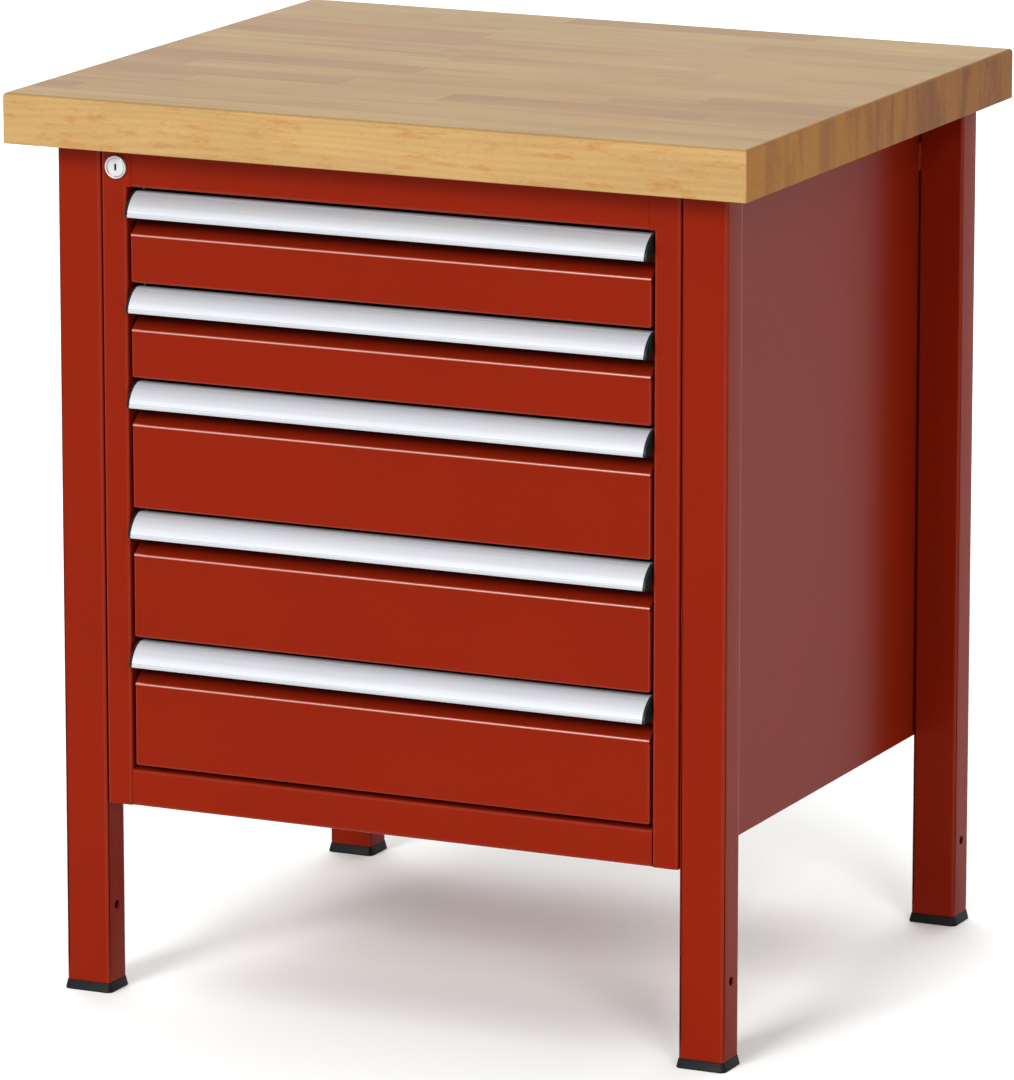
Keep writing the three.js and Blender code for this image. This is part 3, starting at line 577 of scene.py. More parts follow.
def beech():
    """Edge-glued staves along X: each has its own tone, growth rings, flecks and darker streaks."""
    material, tree, shader = new_material("beech_staves")
    coordinates = object_coordinates(tree)
    x, y, z = split_xyz(tree, coordinates)
    geometry = tree.nodes.new("ShaderNodeNewGeometry")
    normal_x, normal_y, normal_z = split_xyz(tree, geometry.outputs["True Normal"])
    front_face = ranged(tree, calc(tree, "ABSOLUTE", normal_y), 0.5, 0.95)
    end_grain = ranged(tree, calc(tree, "ABSOLUTE", normal_x), 0.15, 0.55)
    upward = calc(tree, "POWER", normal_z, 2.0)
    arris = times(tree, times(tree, upward, 4.0), minus(tree, 1.0, upward))

    # Rows of staves, and the staves along each row. The front row is one stave from end to end.
    across = calc(tree, "DIVIDE", plus(tree, y, worktop_half_depth), STAVE_WIDTH)
    row = calc(tree, "FLOOR", across)
    front_row = calc(tree, "LESS_THAN", row, 0.5)
    row_noise = tree.nodes.new("ShaderNodeTexWhiteNoise")
    row_noise.noise_dimensions = "1D"
    feed(tree, row_noise.inputs["W"], plus(tree, row, 3.7))
    shift = times(tree, row_noise.outputs["Value"], 9.0)
    along = plus(tree, calc(tree, "DIVIDE", x, STAVE_LENGTH), shift)
    block = times(tree, calc(tree, "FLOOR", along), minus(tree, 1.0, front_row))
    stave_id = tree.nodes.new("ShaderNodeCombineXYZ")
    feed(tree, stave_id.inputs["X"], row)
    feed(tree, stave_id.inputs["Y"], block)
    stave_noise = tree.nodes.new("ShaderNodeTexWhiteNoise")
    stave_noise.noise_dimensions = "2D"
    feed(tree, stave_noise.inputs["Vector"], stave_id.outputs[0])
    pick = tree.nodes.new("ShaderNodeSeparateColor")
    tree.links.new(stave_noise.outputs["Color"], pick.inputs[0])
    tone = times(tree, stave_noise.outputs["Value"], minus(tree, 1.0, front_row))

    # Growth rings round a line along X somewhere below each stave.
    wander = noise(tree, object_coordinates(tree, (1.6, 9, 9)), 1.0, 2)
    aside = times(tree, minus(tree, pick.outputs[0], 0.5), 0.24)
    ring_y = plus(tree, y, aside)
    centre_z = minus(tree, 0.75, times(tree, pick.outputs[1], 0.1))
    ring_z = minus(tree, z, centre_z)
    squares = plus(tree, calc(tree, "POWER", ring_y, 2.0), calc(tree, "POWER", ring_z, 2.0))
    warped = plus(tree, calc(tree, "SQRT", squares), times(tree, wander, 0.035))
    rings = calc(tree, "SINE", times(tree, warped, 2 * pi / RING_SPACING))
    ring_shade = ranged(tree, rings, -1, 1)

    offset = tree.nodes.new("ShaderNodeVectorMath")
    offset.operation = "ADD"
    feed(tree, offset.inputs[0], coordinates)
    feed(tree, offset.inputs[1], stave_noise.outputs["Color"])

    def grain(stretch, detail, roughness=0.5):
        return noise(tree, stretched(tree, offset.outputs[0], stretch), 1.0, detail, roughness)

    fibre = grain((14, 210, 210), 4, 0.6)
    flecks = ranged(tree, grain((170, 900, 900), 2), 0.53, 0.66)
    swirl = ranged(tree, grain((32, 120, 150), 4, 0.65), 0.50, 0.72)
    streaks = ranged(tree, grain((3.2, 46, 46), 3), 0.50, 0.68)
    cloud = noise(tree, object_coordinates(tree, (3.5, 16, 16)), 1.0, 3)

    ramp = tree.nodes.new("ShaderNodeValToRGB")
    stops = ramp.color_ramp.elements
    stops[0].color = (*PALE_STAVE, 1)
    stops[1].color = (*DARK_STAVE, 1)
    stops.new(0.6).color = (*MIDDLE_STAVE, 1)
    tree.links.new(tone, ramp.inputs["Fac"])
    # The front and rear faces take a lighter, more orange tone than the top: painted light for the stronger
    # light falling on them.
    colour = mixed(tree, front_face, ramp.outputs["Color"], (*FRONT_FACE_LIT_TONE, 1))
    colour = mixed(tree, times(tree, ring_shade, 0.22), colour, (*RING_COLOUR, 1))
    pink = times(tree, streaks, ranged(tree, front_face, 0.0, 1.0, 0.55, 0.10))
    colour = mixed(tree, pink, colour, (*STREAK_COLOUR, 1))
    colour = mixed(tree, ranged(tree, fibre, 0.35, 0.75, 0.0, 0.35), colour, (*FIBRE_COLOUR, 1))
    curl = times(tree, swirl, ranged(tree, front_face, 0.0, 1.0, 0.12, 0.80))
    colour = mixed(tree, curl, colour, (*SWIRL_COLOUR, 1))
    colour = mixed(tree, times(tree, flecks, 0.20), colour, (*FLECK_COLOUR, 1))
    colour = mixed(tree, 1.0, colour, ranged(tree, cloud, 0.3, 0.7, 0.92, 1.07), "MULTIPLY")

    # Glue lines.
    side_gap = calc(tree, "ABSOLUTE", minus(tree, calc(tree, "FRACT", across), 0.5))
    end_gap = calc(tree, "ABSOLUTE", minus(tree, calc(tree, "FRACT", along), 0.5))
    side_line = ranged(tree, side_gap, 0.5 - GLUE_LINE / STAVE_WIDTH, 0.5)
    end_line = ranged(tree, end_gap, 0.5 - GLUE_LINE / STAVE_LENGTH, 0.5)
    end_line = times(tree, end_line, minus(tree, 1.0, front_row))
    glue = calc(tree, "MAXIMUM", side_line, end_line)
    colour = mixed(tree, times(tree, glue, 0.30), colour, (*GLUE_COLOUR, 1))

    # End grain at the two ends: upright bands of golden and purple brown, duller than the faces.
    bands = ranged(tree, grain((1, 26, 7), 4, 0.6), 0.38, 0.62)
    drift = ranged(tree, y, -worktop_half_depth, worktop_half_depth, -0.25, 0.45)
    purple = plus(tree, plus(tree, times(tree, bands, 0.6), drift), 0.1, clamp=True)
    sawn = mixed(tree, purple, (*END_GOLD, 1), (*END_PURPLE, 1))
    pores = ranged(tree, grain((1, 700, 240), 2), 0.3, 0.7, 0.90, 1.08)
    sawn = mixed(tree, 1.0, sawn, pores, "MULTIPLY")
    sawn = mixed(tree, times(tree, side_line, 0.18), sawn, (*GLUE_COLOUR, 1))
    colour = mixed(tree, end_grain, colour, sawn)
    colour = mixed(tree, times(tree, arris, 0.5), colour, (*ARRIS_COLOUR, 1))
    feed(tree, shader.inputs["Base Color"], colour)
    sheen = ranged(tree, fibre, 0.3, 0.7, 0.44, 0.56)
    dull = calc(tree, "MAXIMUM", sheen, times(tree, end_grain, 0.85))
    feed(tree, shader.inputs["Roughness"], dull)
    feed(tree, shader.inputs["Specular IOR Level"], ranged(tree, end_grain, 0.0, 1.0, 0.04, 0.08))
    height = minus(tree, times(tree, fibre, 0.6), times(tree, flecks, 0.4))
    bump(tree, shader, height, 0.05 * MM)
    return material


def metal(name, colour, roughness, stretch, colour_swing, bump_height, metallic=1.0):
    """A metal whose streaks, long where the stretch is small, change its roughness, tone and bump."""
    material, tree, shader = new_material(name)
    streaks = noise(tree, object_coordinates(tree, stretch), 1.0, 3, 0.65)
    broad = noise(tree, object_coordinates(tree), 9, 2)
    streaked = ranged(tree, streaks, 0.3, 0.7, 1 - colour_swing, 1 + colour_swing / 2)
    shade = times(tree, streaked, ranged(tree, broad, 0.3, 0.7, 1 - colour_swing / 2, 1.0))
    feed(tree, shader.inputs["Base Color"], mixed(tree, 1.0, (*colour, 1), shade, "MULTIPLY"))
    polish = ranged(tree, streaks, 0.25, 0.75, roughness - 0.04, roughness + 0.06)
    feed(tree, shader.inputs["Roughness"], polish)
    shader.inputs["Metallic"].default_value = metallic
    bump(tree, shader, streaks, bump_height)
    return material


def moulded_plastic(name, colour, roughness, reflectance):
    """Black plastic with a fine moulded grain and a little dust."""
    material, tree, shader = new_material(name)
    coordinates = object_coordinates(tree)
    grain = noise(tree, coordinates, 1500, 2)
    dust = ranged(tree, noise(tree, coordinates, 120, 4, 0.7), 0.55, 0.8, 0.0, 0.12)
    feed(tree, shader.inputs["Base Color"], mixed(tree, dust, (*colour, 1), (0.09, 0.095, 0.1, 1)))
    satin = ranged(tree, grain, 0.3, 0.7, roughness - 0.05, roughness + 0.08)
    feed(tree, shader.inputs["Roughness"], satin)
    shader.inputs["Specular IOR Level"].default_value = reflectance
    bump(tree, shader, grain, 0.03 * MM)
    return material


RED = powder_coat("red_powder_coat", (0.170, 0.0090, 0.0017), (0.25, 0.018, 0.005), 0.30, 0.011)
GREY = powder_coat("grey_powder_coat", (0.36, 0.37, 0.36), (0.45, 0.45, 0.44), 0.38, 0.054)
BEECH = beech()
ALUMINIUM = metal("anodised_aluminium", (0.46, 0.473, 0.505), 0.52, (2.5, 900, 900), 0.06, 0.006 * MM, 0.3)
NICKEL = metal("satin_nickel", (0.54, 0.54, 0.53), 0.32, (900, 900, 900), 0.02, 0.001 * MM, 0.75)
ZINC = metal("zinc_plate", (0.50, 0.52, 0.54), 0.36, (60, 60, 60), 0.10, 0.004 * MM)
BLACK = moulded_plastic("black_plastic", (0.006, 0.007, 0.008), 0.45, 0.10)
CAP_BLACK = moulded_plastic("end_cap_plastic", (0.010, 0.014, 0.014), 0.33, 0.1)


# ---- Worktop, legs and feet ----


def build_worktop():
    """Rounded arrises round the top, and nearly sharp lower edges and upright corners."""
    low, high = worktop_low, worktop_high
    half_x = (high.x - low.x) / 2
    half_y = (high.y - low.y) / 2
    bm = bmesh.new()
    loops = []

    def add_level(inset, z):
        corner = max(WORKTOP_CORNER_RADIUS - inset, WORKTOP_LEAST_RADIUS)
        outline = rounded_rectangle(half_x - inset, half_y - inset, corner)
        loops.append(add_loop(bm, place_points("z", z, outline)))

    steps = WORKTOP_EDGE_STEPS
    for radius, face, inward in (
        (WORKTOP_BOTTOM_EDGE_RADIUS, low.z, 1),
        (WORKTOP_TOP_EDGE_RADIUS, high.z, -1),
    ):
        turns = [pi / 2 * i / steps for i in range(steps + 1)]
        for turn in turns if inward > 0 else reversed(turns):
            add_level(radius * (1 - sin(turn)), face + inward * radius * (1 - cos(turn)))
    skin(bm, loops)
    settle(make_object("worktop_staves", bm, BEECH), "cabinet", "beech", "worktop")


def build_leg(place):
    """A tube with rounded corners and a hole through it near the foot."""
    low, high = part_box(f"leg_{place}")
    centre = ((low.x + high.x) / 2, (low.y + high.y) / 2)
    half_x = (high.x - low.x) / 2
    half_y = (high.y - low.y) / 2

    def section(inset):
        sizes = (half_x - inset, half_y - inset, LEG_CORNER_RADIUS - inset)
        return rounded_rectangle(*sizes, centre, support=BEND_SUPPORT)

    outer = section(0)
    weights = bend_weights(outer, SHELL_EDGE)
    bm = bmesh.new()
    outside = [add_loop(bm, place_points("z", z, outer), weights) for z in (low.z, high.z)]
    inside = [add_loop(bm, place_points("z", z, section(LEG_WALL))) for z in (low.z, high.z)]
    bridge(bm, outside[0], outside[1])
    bridge(bm, inside[0], inside[1])
    bridge(bm, outside[0], inside[0])
    bridge(bm, outside[1], inside[1])
    leg = make_object(f"leg_tube_{place}", bm, RED)
    hole = bmesh.new()
    round_hole = circle((centre[1], LEG_HOLE_HEIGHT), LEG_HOLE_RADIUS, 32)
    add_prism(hole, round_hole, "x", low.x - LEG_WALL, high.x + LEG_WALL)
    cut_away(leg, hole)
    settle(leg, "cabinet", "red_powder_coat", f"leg_{place}")


def build_foot(place):
    """A flared cap: a thin rim round the tube, a slope outwards, and a rounded sole."""
    low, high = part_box(f"foot_{place}")
    leg_low, leg_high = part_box(f"leg_{place}")
    centre = ((low.x + high.x) / 2, (low.y + high.y) / 2)
    half_x = (leg_high.x - leg_low.x) / 2
    half_y = (leg_high.y - leg_low.y) / 2
    flare = (high.x - low.x) / 2 - half_x
    top = leg_low.z - 0.2 * MM
    plug_inset = LEG_WALL + 0.4 * MM
    sole_bevel = 0.8 * MM
    levels = [
        (-plug_inset, high.z),
        (-plug_inset, top),
        (0.15 * MM, top),
        (0.5 * MM, top - 0.3 * MM),
        (0.8 * MM, top - 1.6 * MM),
        (flare - 0.2 * MM, 1.9 * MM),
        (flare, 1.4 * MM),
        (flare, sole_bevel),
        (flare - 0.3 * MM, 0.2 * MM),
        (flare - sole_bevel, 0.0),
    ]
    bm = bmesh.new()
    loops = []
    for grow, z in levels:
        radius = max(LEG_CORNER_RADIUS + grow, 0.6 * MM)
        outline = rounded_rectangle(half_x + grow, half_y + grow, radius, centre)
        loops.append(add_loop(bm, place_points("z", z, outline)))
    skin(bm, loops)
    settle(make_object(f"foot_cap_{place}", bm, BLACK), "cabinet", "black_plastic", f"foot_{place}")


def build_weld_bead(place, side, toward):
    """A short bead between a leg and its side panel, painted over."""
    leg_low, leg_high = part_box(f"leg_{place}")
    inner_x = leg_low.x if side > 0 else leg_high.x
    face_y = leg_low.y if toward < 0 else leg_high.y
    centre_x = inner_x - side * 0.6 * MM
    centre_y = face_y + toward * 0.2 * MM
    draws = random.Random(f"bead {place}")
    steps, segments = 36, 14
    bm = bmesh.new()
    loops = []
    for i in range(steps + 1):
        share = i / steps
        round_off = sqrt(max(0.0, 1 - abs(2 * share - 1) ** 6))
        ripple = 1 + 0.16 * abs(sin(share * pi * 7)) + draws.uniform(-0.05, 0.05)
        size = max(0.05 * MM, WELD_RADIUS * round_off * ripple)
        shift = draws.uniform(-0.15, 0.15) * MM
        outline = circle((centre_x + shift, centre_y), size, segments)
        loops.append(add_loop(bm, place_points("z", WELD_START + share * WELD_LENGTH, outline)))
    skin(bm, loops)
    settle(make_object(f"weld_bead_{place}", bm, RED, 80), "cabinet", "red_powder_coat")


# ---- Cabinet shell ----


def mirrored(outline, side):
    """An outline for the right side, turned over for the left."""
    return [(side * a, b) for a, b in outline]


def build_side_panel(name, side):
    """The side sheet with its rear flange and front post; the post's face is wider above the drawers."""
    low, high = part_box(f"side_panel_{name}")
    rail_low, rail_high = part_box("front_top_rail")
    outer_x = shell_outer_x
    opening_top = rail_low.z
    seam_x = rail_high.x + SHEET_GAP
    split_x = OPENING_HALF_WIDTH + POST_SPLIT
    front_y, rear_y = low.y, high.y
    bm = bmesh.new()
    body = folded_sheet(
        [(outer_x - REAR_FLANGE, rear_y), (outer_x, rear_y), (outer_x, front_y), (split_x, front_y)],
        SHELL_SHEET,
        -1,
        SHELL_BEND,
    )
    add_prism(bm, mirrored(body, side), "z", low.z, high.z)
    post = folded_sheet(
        [(split_x, front_y), (OPENING_HALF_WIDTH, front_y), (OPENING_HALF_WIDTH, front_y + POST_RETURN)],
        SHELL_SHEET,
        -1,
        SHELL_BEND,
    )
    add_prism(bm, mirrored(post, side), "z", low.z, opening_top)
    back = front_y + SHELL_SHEET
    plate = [(split_x, front_y), (seam_x, front_y), (seam_x, back), (split_x, back)]
    add_prism(bm, mirrored(plate, side), "z", opening_top, high.z)
    panel = make_object(f"side_sheet_{name}", bm, RED)
    if side == SIDES["left"]:
        hole = bmesh.new()
        round_hole = circle((lock_centre.x, lock_centre.z), LOCK_HOLE_RADIUS, 48)
        add_prism(hole, round_hole, "y", front_y - SHELL_SHEET, front_y + 2 * SHELL_SHEET)
        cut_away(panel, hole)
    settle(panel, "cabinet", "red_powder_coat", f"side_panel_{name}")


def build_top_rail():
    """The rail over the drawers, folded back at its top and bottom."""
    low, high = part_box("front_top_rail")
    outline = folded_sheet(
        [(low.y + RAIL_RETURN, high.z), (low.y, high.z), (low.y, low.z), (low.y + RAIL_RETURN, low.z)],
        SHELL_SHEET,
        1,
        SHELL_BEND,
    )
    bm = bmesh.new()
    add_prism(bm, outline, "x", low.x, high.x)
    settle(make_object("top_rail_sheet", bm, RED), "cabinet", "red_powder_coat", "front_top_rail")


def build_bottom_pan():
    """The cabinet's floor and the rail under the drawers."""
    low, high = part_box("bottom_pan")
    rail_half = OPENING_HALF_WIDTH - SHEET_GAP
    outline = folded_sheet(
        [
            (low.y + POST_RETURN, high.z),
            (low.y, high.z),
            (low.y, low.z),
            (low.y + 2 * POST_RETURN, low.z),
        ],
        SHELL_SHEET,
        1,
        SHELL_BEND,
    )
    bm = bmesh.new()
    add_prism(bm, outline, "x", -rail_half, rail_half)
    floor_low = (low.x, low.y + POST_RETURN + SHEET_GAP, low.z)
    add_box(bm, floor_low, (high.x, high.y, low.z + SHELL_SHEET))
    settle(make_object("bottom_sheet", bm, RED), "cabinet", "red_powder_coat", "bottom_pan")


# ---- Drawers ----


def add_tray(bm, half_width, low, face_y, back_y, top):
    """A shallow pan facing the front, folded at its left, right and lower edges and open above."""
    steps = 5
    corner = FRONT_SIDE_FOLD + 0.5 * MM

    def u_loop(inset, y):
        x = half_width - inset
        bottom = low + inset
        radius = max(corner - inset, 0.1 * MM)
        points = [Vector((-x, y, top))]
        for sign, quarter in ((-1, 2), (1, 3)):
            for step in range(steps + 1):
                angle = pi / 2 * (quarter + step / steps)
                cx = sign * (x - radius)
                points.append(
                    Vector((cx + radius * cos(angle), y, bottom + radius + radius * sin(angle)))
                )
        points.append(Vector((x, y, top)))
        return points

    angles = [pi / 2 * i / steps for i in range(steps + 1)]
    size = FRONT_SIDE_FOLD
    fold = [(size * (1 - cos(a)), face_y + size * (1 - sin(a))) for a in angles]
    reach = FRONT_SIDE_FOLD + BEND_SUPPORT
    levels = [(0.0, back_y), (0.0, face_y + reach)] + fold + [(reach, face_y)]
    outer = []
    for index, (inset, y) in enumerate(levels):
        weight = TRAY_EDGE if 2 <= index <= 2 + steps else 0.0
        points = u_loop(inset, y)
        outer.append(add_loop(bm, points, [weight] * len(points)))
    inner = [add_loop(bm, u_loop(FRONT_SHEET, y)) for y in (back_y, face_y + FRONT_SHEET)]
    for one, two in zip(outer, outer[1:]):
        bridge(bm, one, two, closed=False)
    bridge(bm, inner[0], inner[1], closed=False)
    bridge(bm, outer[0], inner[0], closed=False)
    bm.faces.new(outer[-1])
    bm.faces.new(inner[1])
    left_top = [loop[0] for loop in outer]
    right_top = [loop[-1] for loop in reversed(outer)]
    bm.faces.new(left_top + right_top + [inner[0][-1], inner[1][-1], inner[1][0], inner[0][0]])


def build_drawer_front(number):
    """A shallow tray under a folded strip that forms the finger recess, with a cheek at each end."""
    low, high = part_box(f"drawer_front_{number}")
    slot_top = high.z + FRONT_TOP_UNDER_SLOT
    bend = slot_top - BEND_UNDER_SLOT
    face_y = low.y
    recess_y = face_y + RECESS_DEPTH
    tray_top = bend - TRAY_BELOW_BEND
    bm = bmesh.new()
    add_tray(bm, high.x, low.z, face_y, face_y + FRONT_RETURN, tray_top)
    corners = [
        (face_y, tray_top),
        (face_y, bend),
        (recess_y, bend + RECESS_SHELF_RISE),
        (recess_y, high.z),
        (recess_y + FRONT_TOP_FLANGE, high.z),
    ]
    strip = folded_sheet(corners, FRONT_SHEET, -1, FRONT_BEND)
    strip_half = high.x - FRONT_STRIP_INSET
    weights = []
    # Points deep in the finger recess take painted shade; the rest take the bend weights.
    for (y, _), weight in zip(strip, bend_weights(strip, FOLD_EDGE)):
        weights.append(RECESS_PAINTED_SHADE if y > face_y + RECESS_DEPTH / 2 else weight)
    add_prism(bm, strip, "x", -strip_half, strip_half, weights)
    for sign in SIDES.values():
        inner_y, rear_y = face_y + FRONT_SHEET, face_y + FRONT_RETURN
        cheek = [(inner_y, tray_top), (inner_y, bend - CHEEK_BELOW_BEND)]
        cheek += [(rear_y, bend + CHEEK_REAR_RISE), (rear_y, tray_top)]
        edges = sorted((sign * strip_half, sign * (strip_half - FRONT_SHEET)))
        add_prism(bm, cheek, "x", *edges)
    front = make_object(f"drawer_front_sheet_{number}", bm, RED)
    settle(front, f"drawer_{number}", "red_powder_coat", f"drawer_front_{number}")


def handle_arc(low, high):
    """The centre and the start and end angles of the handle's front curve, from crest to lip."""
    crest = v2(high.y - HANDLE_CREST_FROM_BACK, high.z)
    lip = v2(low.y + HANDLE_LIP_STEP, low.z + HANDLE_LIP_HEIGHT)
    chord = lip - crest
    inward = v2(-chord.y, chord.x).normalized()
    rise = sqrt(HANDLE_ARC_RADIUS**2 - (chord.length / 2) ** 2)
    centre = crest + chord / 2 + inward * rise
    start = atan2(crest.y - centre.y, crest.x - centre.x)
    end = atan2(lip.y - centre.y, lip.x - centre.x)
    if end < start:
        end += 2 * pi
    return centre, start, end


def grooved_arc(centre, start, end, grooves, steps=40):
    """The front curve with a shallow lengthwise groove at each given distance from the crest."""
    radius = HANDLE_ARC_RADIUS
    depths = {start + (end - start) * i / steps: 0.0 for i in range(steps + 1)}
    for distance in grooves:
        middle = start + distance / radius
        half = HANDLE_GROOVE_WIDTH / radius / 2
        depths = {angle: depth for angle, depth in depths.items() if abs(angle - middle) > half}
        for share, depth in ((-1.0, 0.0), (-0.6, 1.0), (0.6, 1.0), (1.0, 0.0)):
            depths[middle + share * half] = depth * HANDLE_GROOVE_DEPTH
    points = []
    for angle, depth in sorted(depths.items()):
        reach = radius - depth
        points.append(v2(centre.x + reach * cos(angle), centre.y + reach * sin(angle)))
    return points


def build_handle(number):
    """An extruded pull rail with two plastic end caps that close its section."""
    low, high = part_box(f"drawer_handle_{number}")
    centre, start, end = handle_arc(low, high)
    back, flange_front = high.y, high.y - HANDLE_WALL
    arc_length = HANDLE_ARC_RADIUS * (end - start)
    grooves = (HANDLE_GROOVE_FROM_CREST, arc_length - HANDLE_GROOVE_WIDTH)
    outer = grooved_arc(centre, start, end, grooves)
    inner = arc_points(centre, HANDLE_ARC_RADIUS - HANDLE_WALL, end, start, 20)
    crest_round = [v2(back, high.z - HANDLE_CREST_ROUND), v2(back - HANDLE_CREST_ROUND, high.z)]
    lip = [
        v2(low.y, low.z + HANDLE_LIP_HEIGHT - 0.2 * MM),
        v2(low.y + 0.7 * MM, low.z + 0.3 * MM),
        v2(low.y + 1.0 * MM, low.z),
        v2(low.y + HANDLE_WALL, low.z),
    ]
    flange = [
        v2(flange_front, high.z - HANDLE_WALL),
        v2(flange_front, high.z - HANDLE_FLANGE_HEIGHT),
        v2(back, high.z - HANDLE_FLANGE_HEIGHT),
    ]
    outline = [tuple(p) for p in crest_round + outer + lip + inner + flange]
    body = f"drawer_{number}"
    cap = HANDLE_CAP_THICKNESS
    bm = bmesh.new()
    add_prism(bm, outline, "x", low.x + cap, high.x - cap)
    rail = make_object(f"handle_rail_{number}", bm, ALUMINIUM, 25)
    settle(rail, body, "aluminium", f"drawer_handle_{number}")

    plain = arc_points(centre, HANDLE_ARC_RADIUS + HANDLE_CAP_OVERHANG, start, end, 24)
    cap_outline = [tuple(p) for p in crest_round + plain]
    cap_outline += [(low.y, low.z + 1.0 * MM), (low.y + 0.5 * MM, low.z)]
    cap_outline += [(low.y + 3.5 * MM, low.z), (flange_front - 4 * MM, high.z - HANDLE_FLANGE_HEIGHT)]
    cap_outline += [(back, high.z - HANDLE_FLANGE_HEIGHT)]
    bevel = HANDLE_CAP_BEVEL
    middle = Vector((sum(p[0] for p in cap_outline), sum(p[1] for p in cap_outline))) / len(cap_outline)
    shrunk = [tuple(Vector(p) + (middle - Vector(p)).normalized() * bevel) for p in cap_outline]
    for name, side in SIDES.items():
        bm = bmesh.new()
        loops = []
        for depth, outline in ((cap - HANDLE_CAP_GAP, cap_outline), (bevel, cap_outline), (0, shrunk)):
            loops.append(add_loop(bm, place_points("x", side * (high.x - depth), outline)))
        skin(bm, loops)
        piece = make_object(f"handle_cap_{number}_{name}", bm, CAP_BLACK, 50)
        settle(piece, body, "black_plastic")


def build_drawer_box(number):
    """The tray with hemmed sides, end walls, the slides' inner members and the lock's catch."""
    low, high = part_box(f"drawer_box_{number}")
    half = BOX_HALF_WIDTH
    corners = [(-half + BOX_HEM, high.z), (-half, high.z), (-half, low.z)]
    corners += [(half, low.z), (half, high.z), (half - BOX_HEM, high.z)]
    bm = bmesh.new()
    add_prism(bm, folded_sheet(corners, BOX_SHEET, 1, BOX_BEND), "y", low.y, high.y)
    inset = BOX_WALL_INSET
    for y in (low.y + inset, high.y - inset - BOX_SHEET):
        add_box(bm, (-half + inset, y, low.z + inset), (half - inset, y + BOX_SHEET, high.z - inset))
    box_piece = make_object(f"drawer_tray_{number}", bm, GREY)
    settle(box_piece, f"drawer_{number}", "grey_powder_coat", f"drawer_box_{number}")
    slide_low, slide_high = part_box(f"slide_middle_{number}_right")
    middle_z = (slide_low.z + slide_high.z) / 2
    for name, side in SIDES.items():
        web, lip = half + SLIDE_INNER_GAP, high.x
        bm = bmesh.new()
        ends = (slide_low.y, slide_high.y)
        add_slide_channel(bm, side, web, lip, middle_z, SLIDE_INNER_HALF_HEIGHT, *ends)
        for y in (ends[0] + RIVET_FROM_END, 0.0, ends[1] - RIVET_FROM_END):
            add_rivet(bm, side, web + SLIDE_SHEET, y, middle_z)
        member = make_object(f"slide_inner_{number}_{name}", bm, ZINC)
        settle(member, f"drawer_{number}", "zinc_steel")
    bm = bmesh.new()
    catch_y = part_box("lock_bar")[1].y + CATCH_BEHIND_BAR
    catch_top = high.z - CATCH_BELOW_RIM
    catch_high = (-half + CATCH_OVERLAP, catch_y + CATCH_THICKNESS, catch_top)
    add_box(bm, (low.x, catch_y, catch_top - CATCH_HEIGHT), catch_high)
    settle(make_object(f"lock_catch_{number}", bm, ZINC), f"drawer_{number}", "zinc_steel")


def add_slide_channel(bm, side, web, lip, middle, half_height, start, end):
    """A channel whose lips turn in at their ends to hold the balls."""
    corners = [(lip, middle + half_height), (web, middle + half_height)]
    corners += [(web, middle - half_height), (lip, middle - half_height)]
    hand = -1 if web > lip else 1
    outline = sheet_outline(rounded_path([v2(*c) for c in corners], SLIDE_BEND, 4), SLIDE_SHEET, hand)
    add_prism(bm, mirrored(outline, side), "y", start, end)


def add_rivet(bm, side, face, y, z):
    """A low domed rivet head that stands on a web, out from the bench's middle."""
    segments, steps = 20, 4
    loops = []
    for step in range(steps):
        angle = pi / 2 * step / steps
        x = side * (face + RIVET_HEIGHT * sin(angle))
        ring = circle((y, z), RIVET_RADIUS * cos(angle), segments)
        loops.append(add_loop(bm, place_points("x", x, ring)))
    skin(bm, loops)


def build_slide(number, name, side):
    """The fixed and the middle member, and two rows of balls that ride on the middle one."""
    low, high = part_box(f"slide_rail_{number}_{name}")
    middle_z = (low.z + high.z) / 2
    web = max(abs(low.x), abs(high.x))
    lip = min(abs(low.x), abs(high.x))
    bm = bmesh.new()
    add_slide_channel(bm, side, web, lip, middle_z, (high.z - low.z) / 2, low.y, high.y)
    fixed = make_object(f"slide_fixed_{number}_{name}", bm, ZINC)
    settle(fixed, "cabinet", "zinc_steel", f"slide_rail_{number}_{name}")

    low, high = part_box(f"slide_middle_{number}_{name}")
    inner_web = max(abs(low.x), abs(high.x))
    inner_lip = min(abs(low.x), abs(high.x))
    half_height = (high.z - low.z) / 2
    bm = bmesh.new()
    add_slide_channel(bm, side, inner_web, inner_lip, middle_z, half_height, low.y, high.y)
    middle = make_object(f"slide_carrier_{number}_{name}", bm, ZINC)
    settle(middle, f"slide_pair_{number}", "zinc_steel", f"slide_middle_{number}_{name}")
    bm = bmesh.new()
    row_x = side * (inner_lip + BALL_ROW_BEHIND_LIP)
    for sign in (-1, 1):
        z = middle_z + sign * (half_height - SLIDE_SHEET - BALL_ROW_INSET)
        for i in range(int(BALL_ROW_LENGTH / BALL_PITCH)):
            spot = Vector((row_x, BALL_ROW_START + i * BALL_PITCH, z))
            made = bmesh.ops.create_icosphere(bm, subdivisions=2, radius=BALL_RADIUS)
            bmesh.ops.translate(bm, vec=spot, verts=made["verts"])
    balls = make_object(f"slide_balls_{number}_{name}", bm, NICKEL, 180)
    settle(balls, f"slide_pair_{number}", "nickel")


# ---- Lock ----


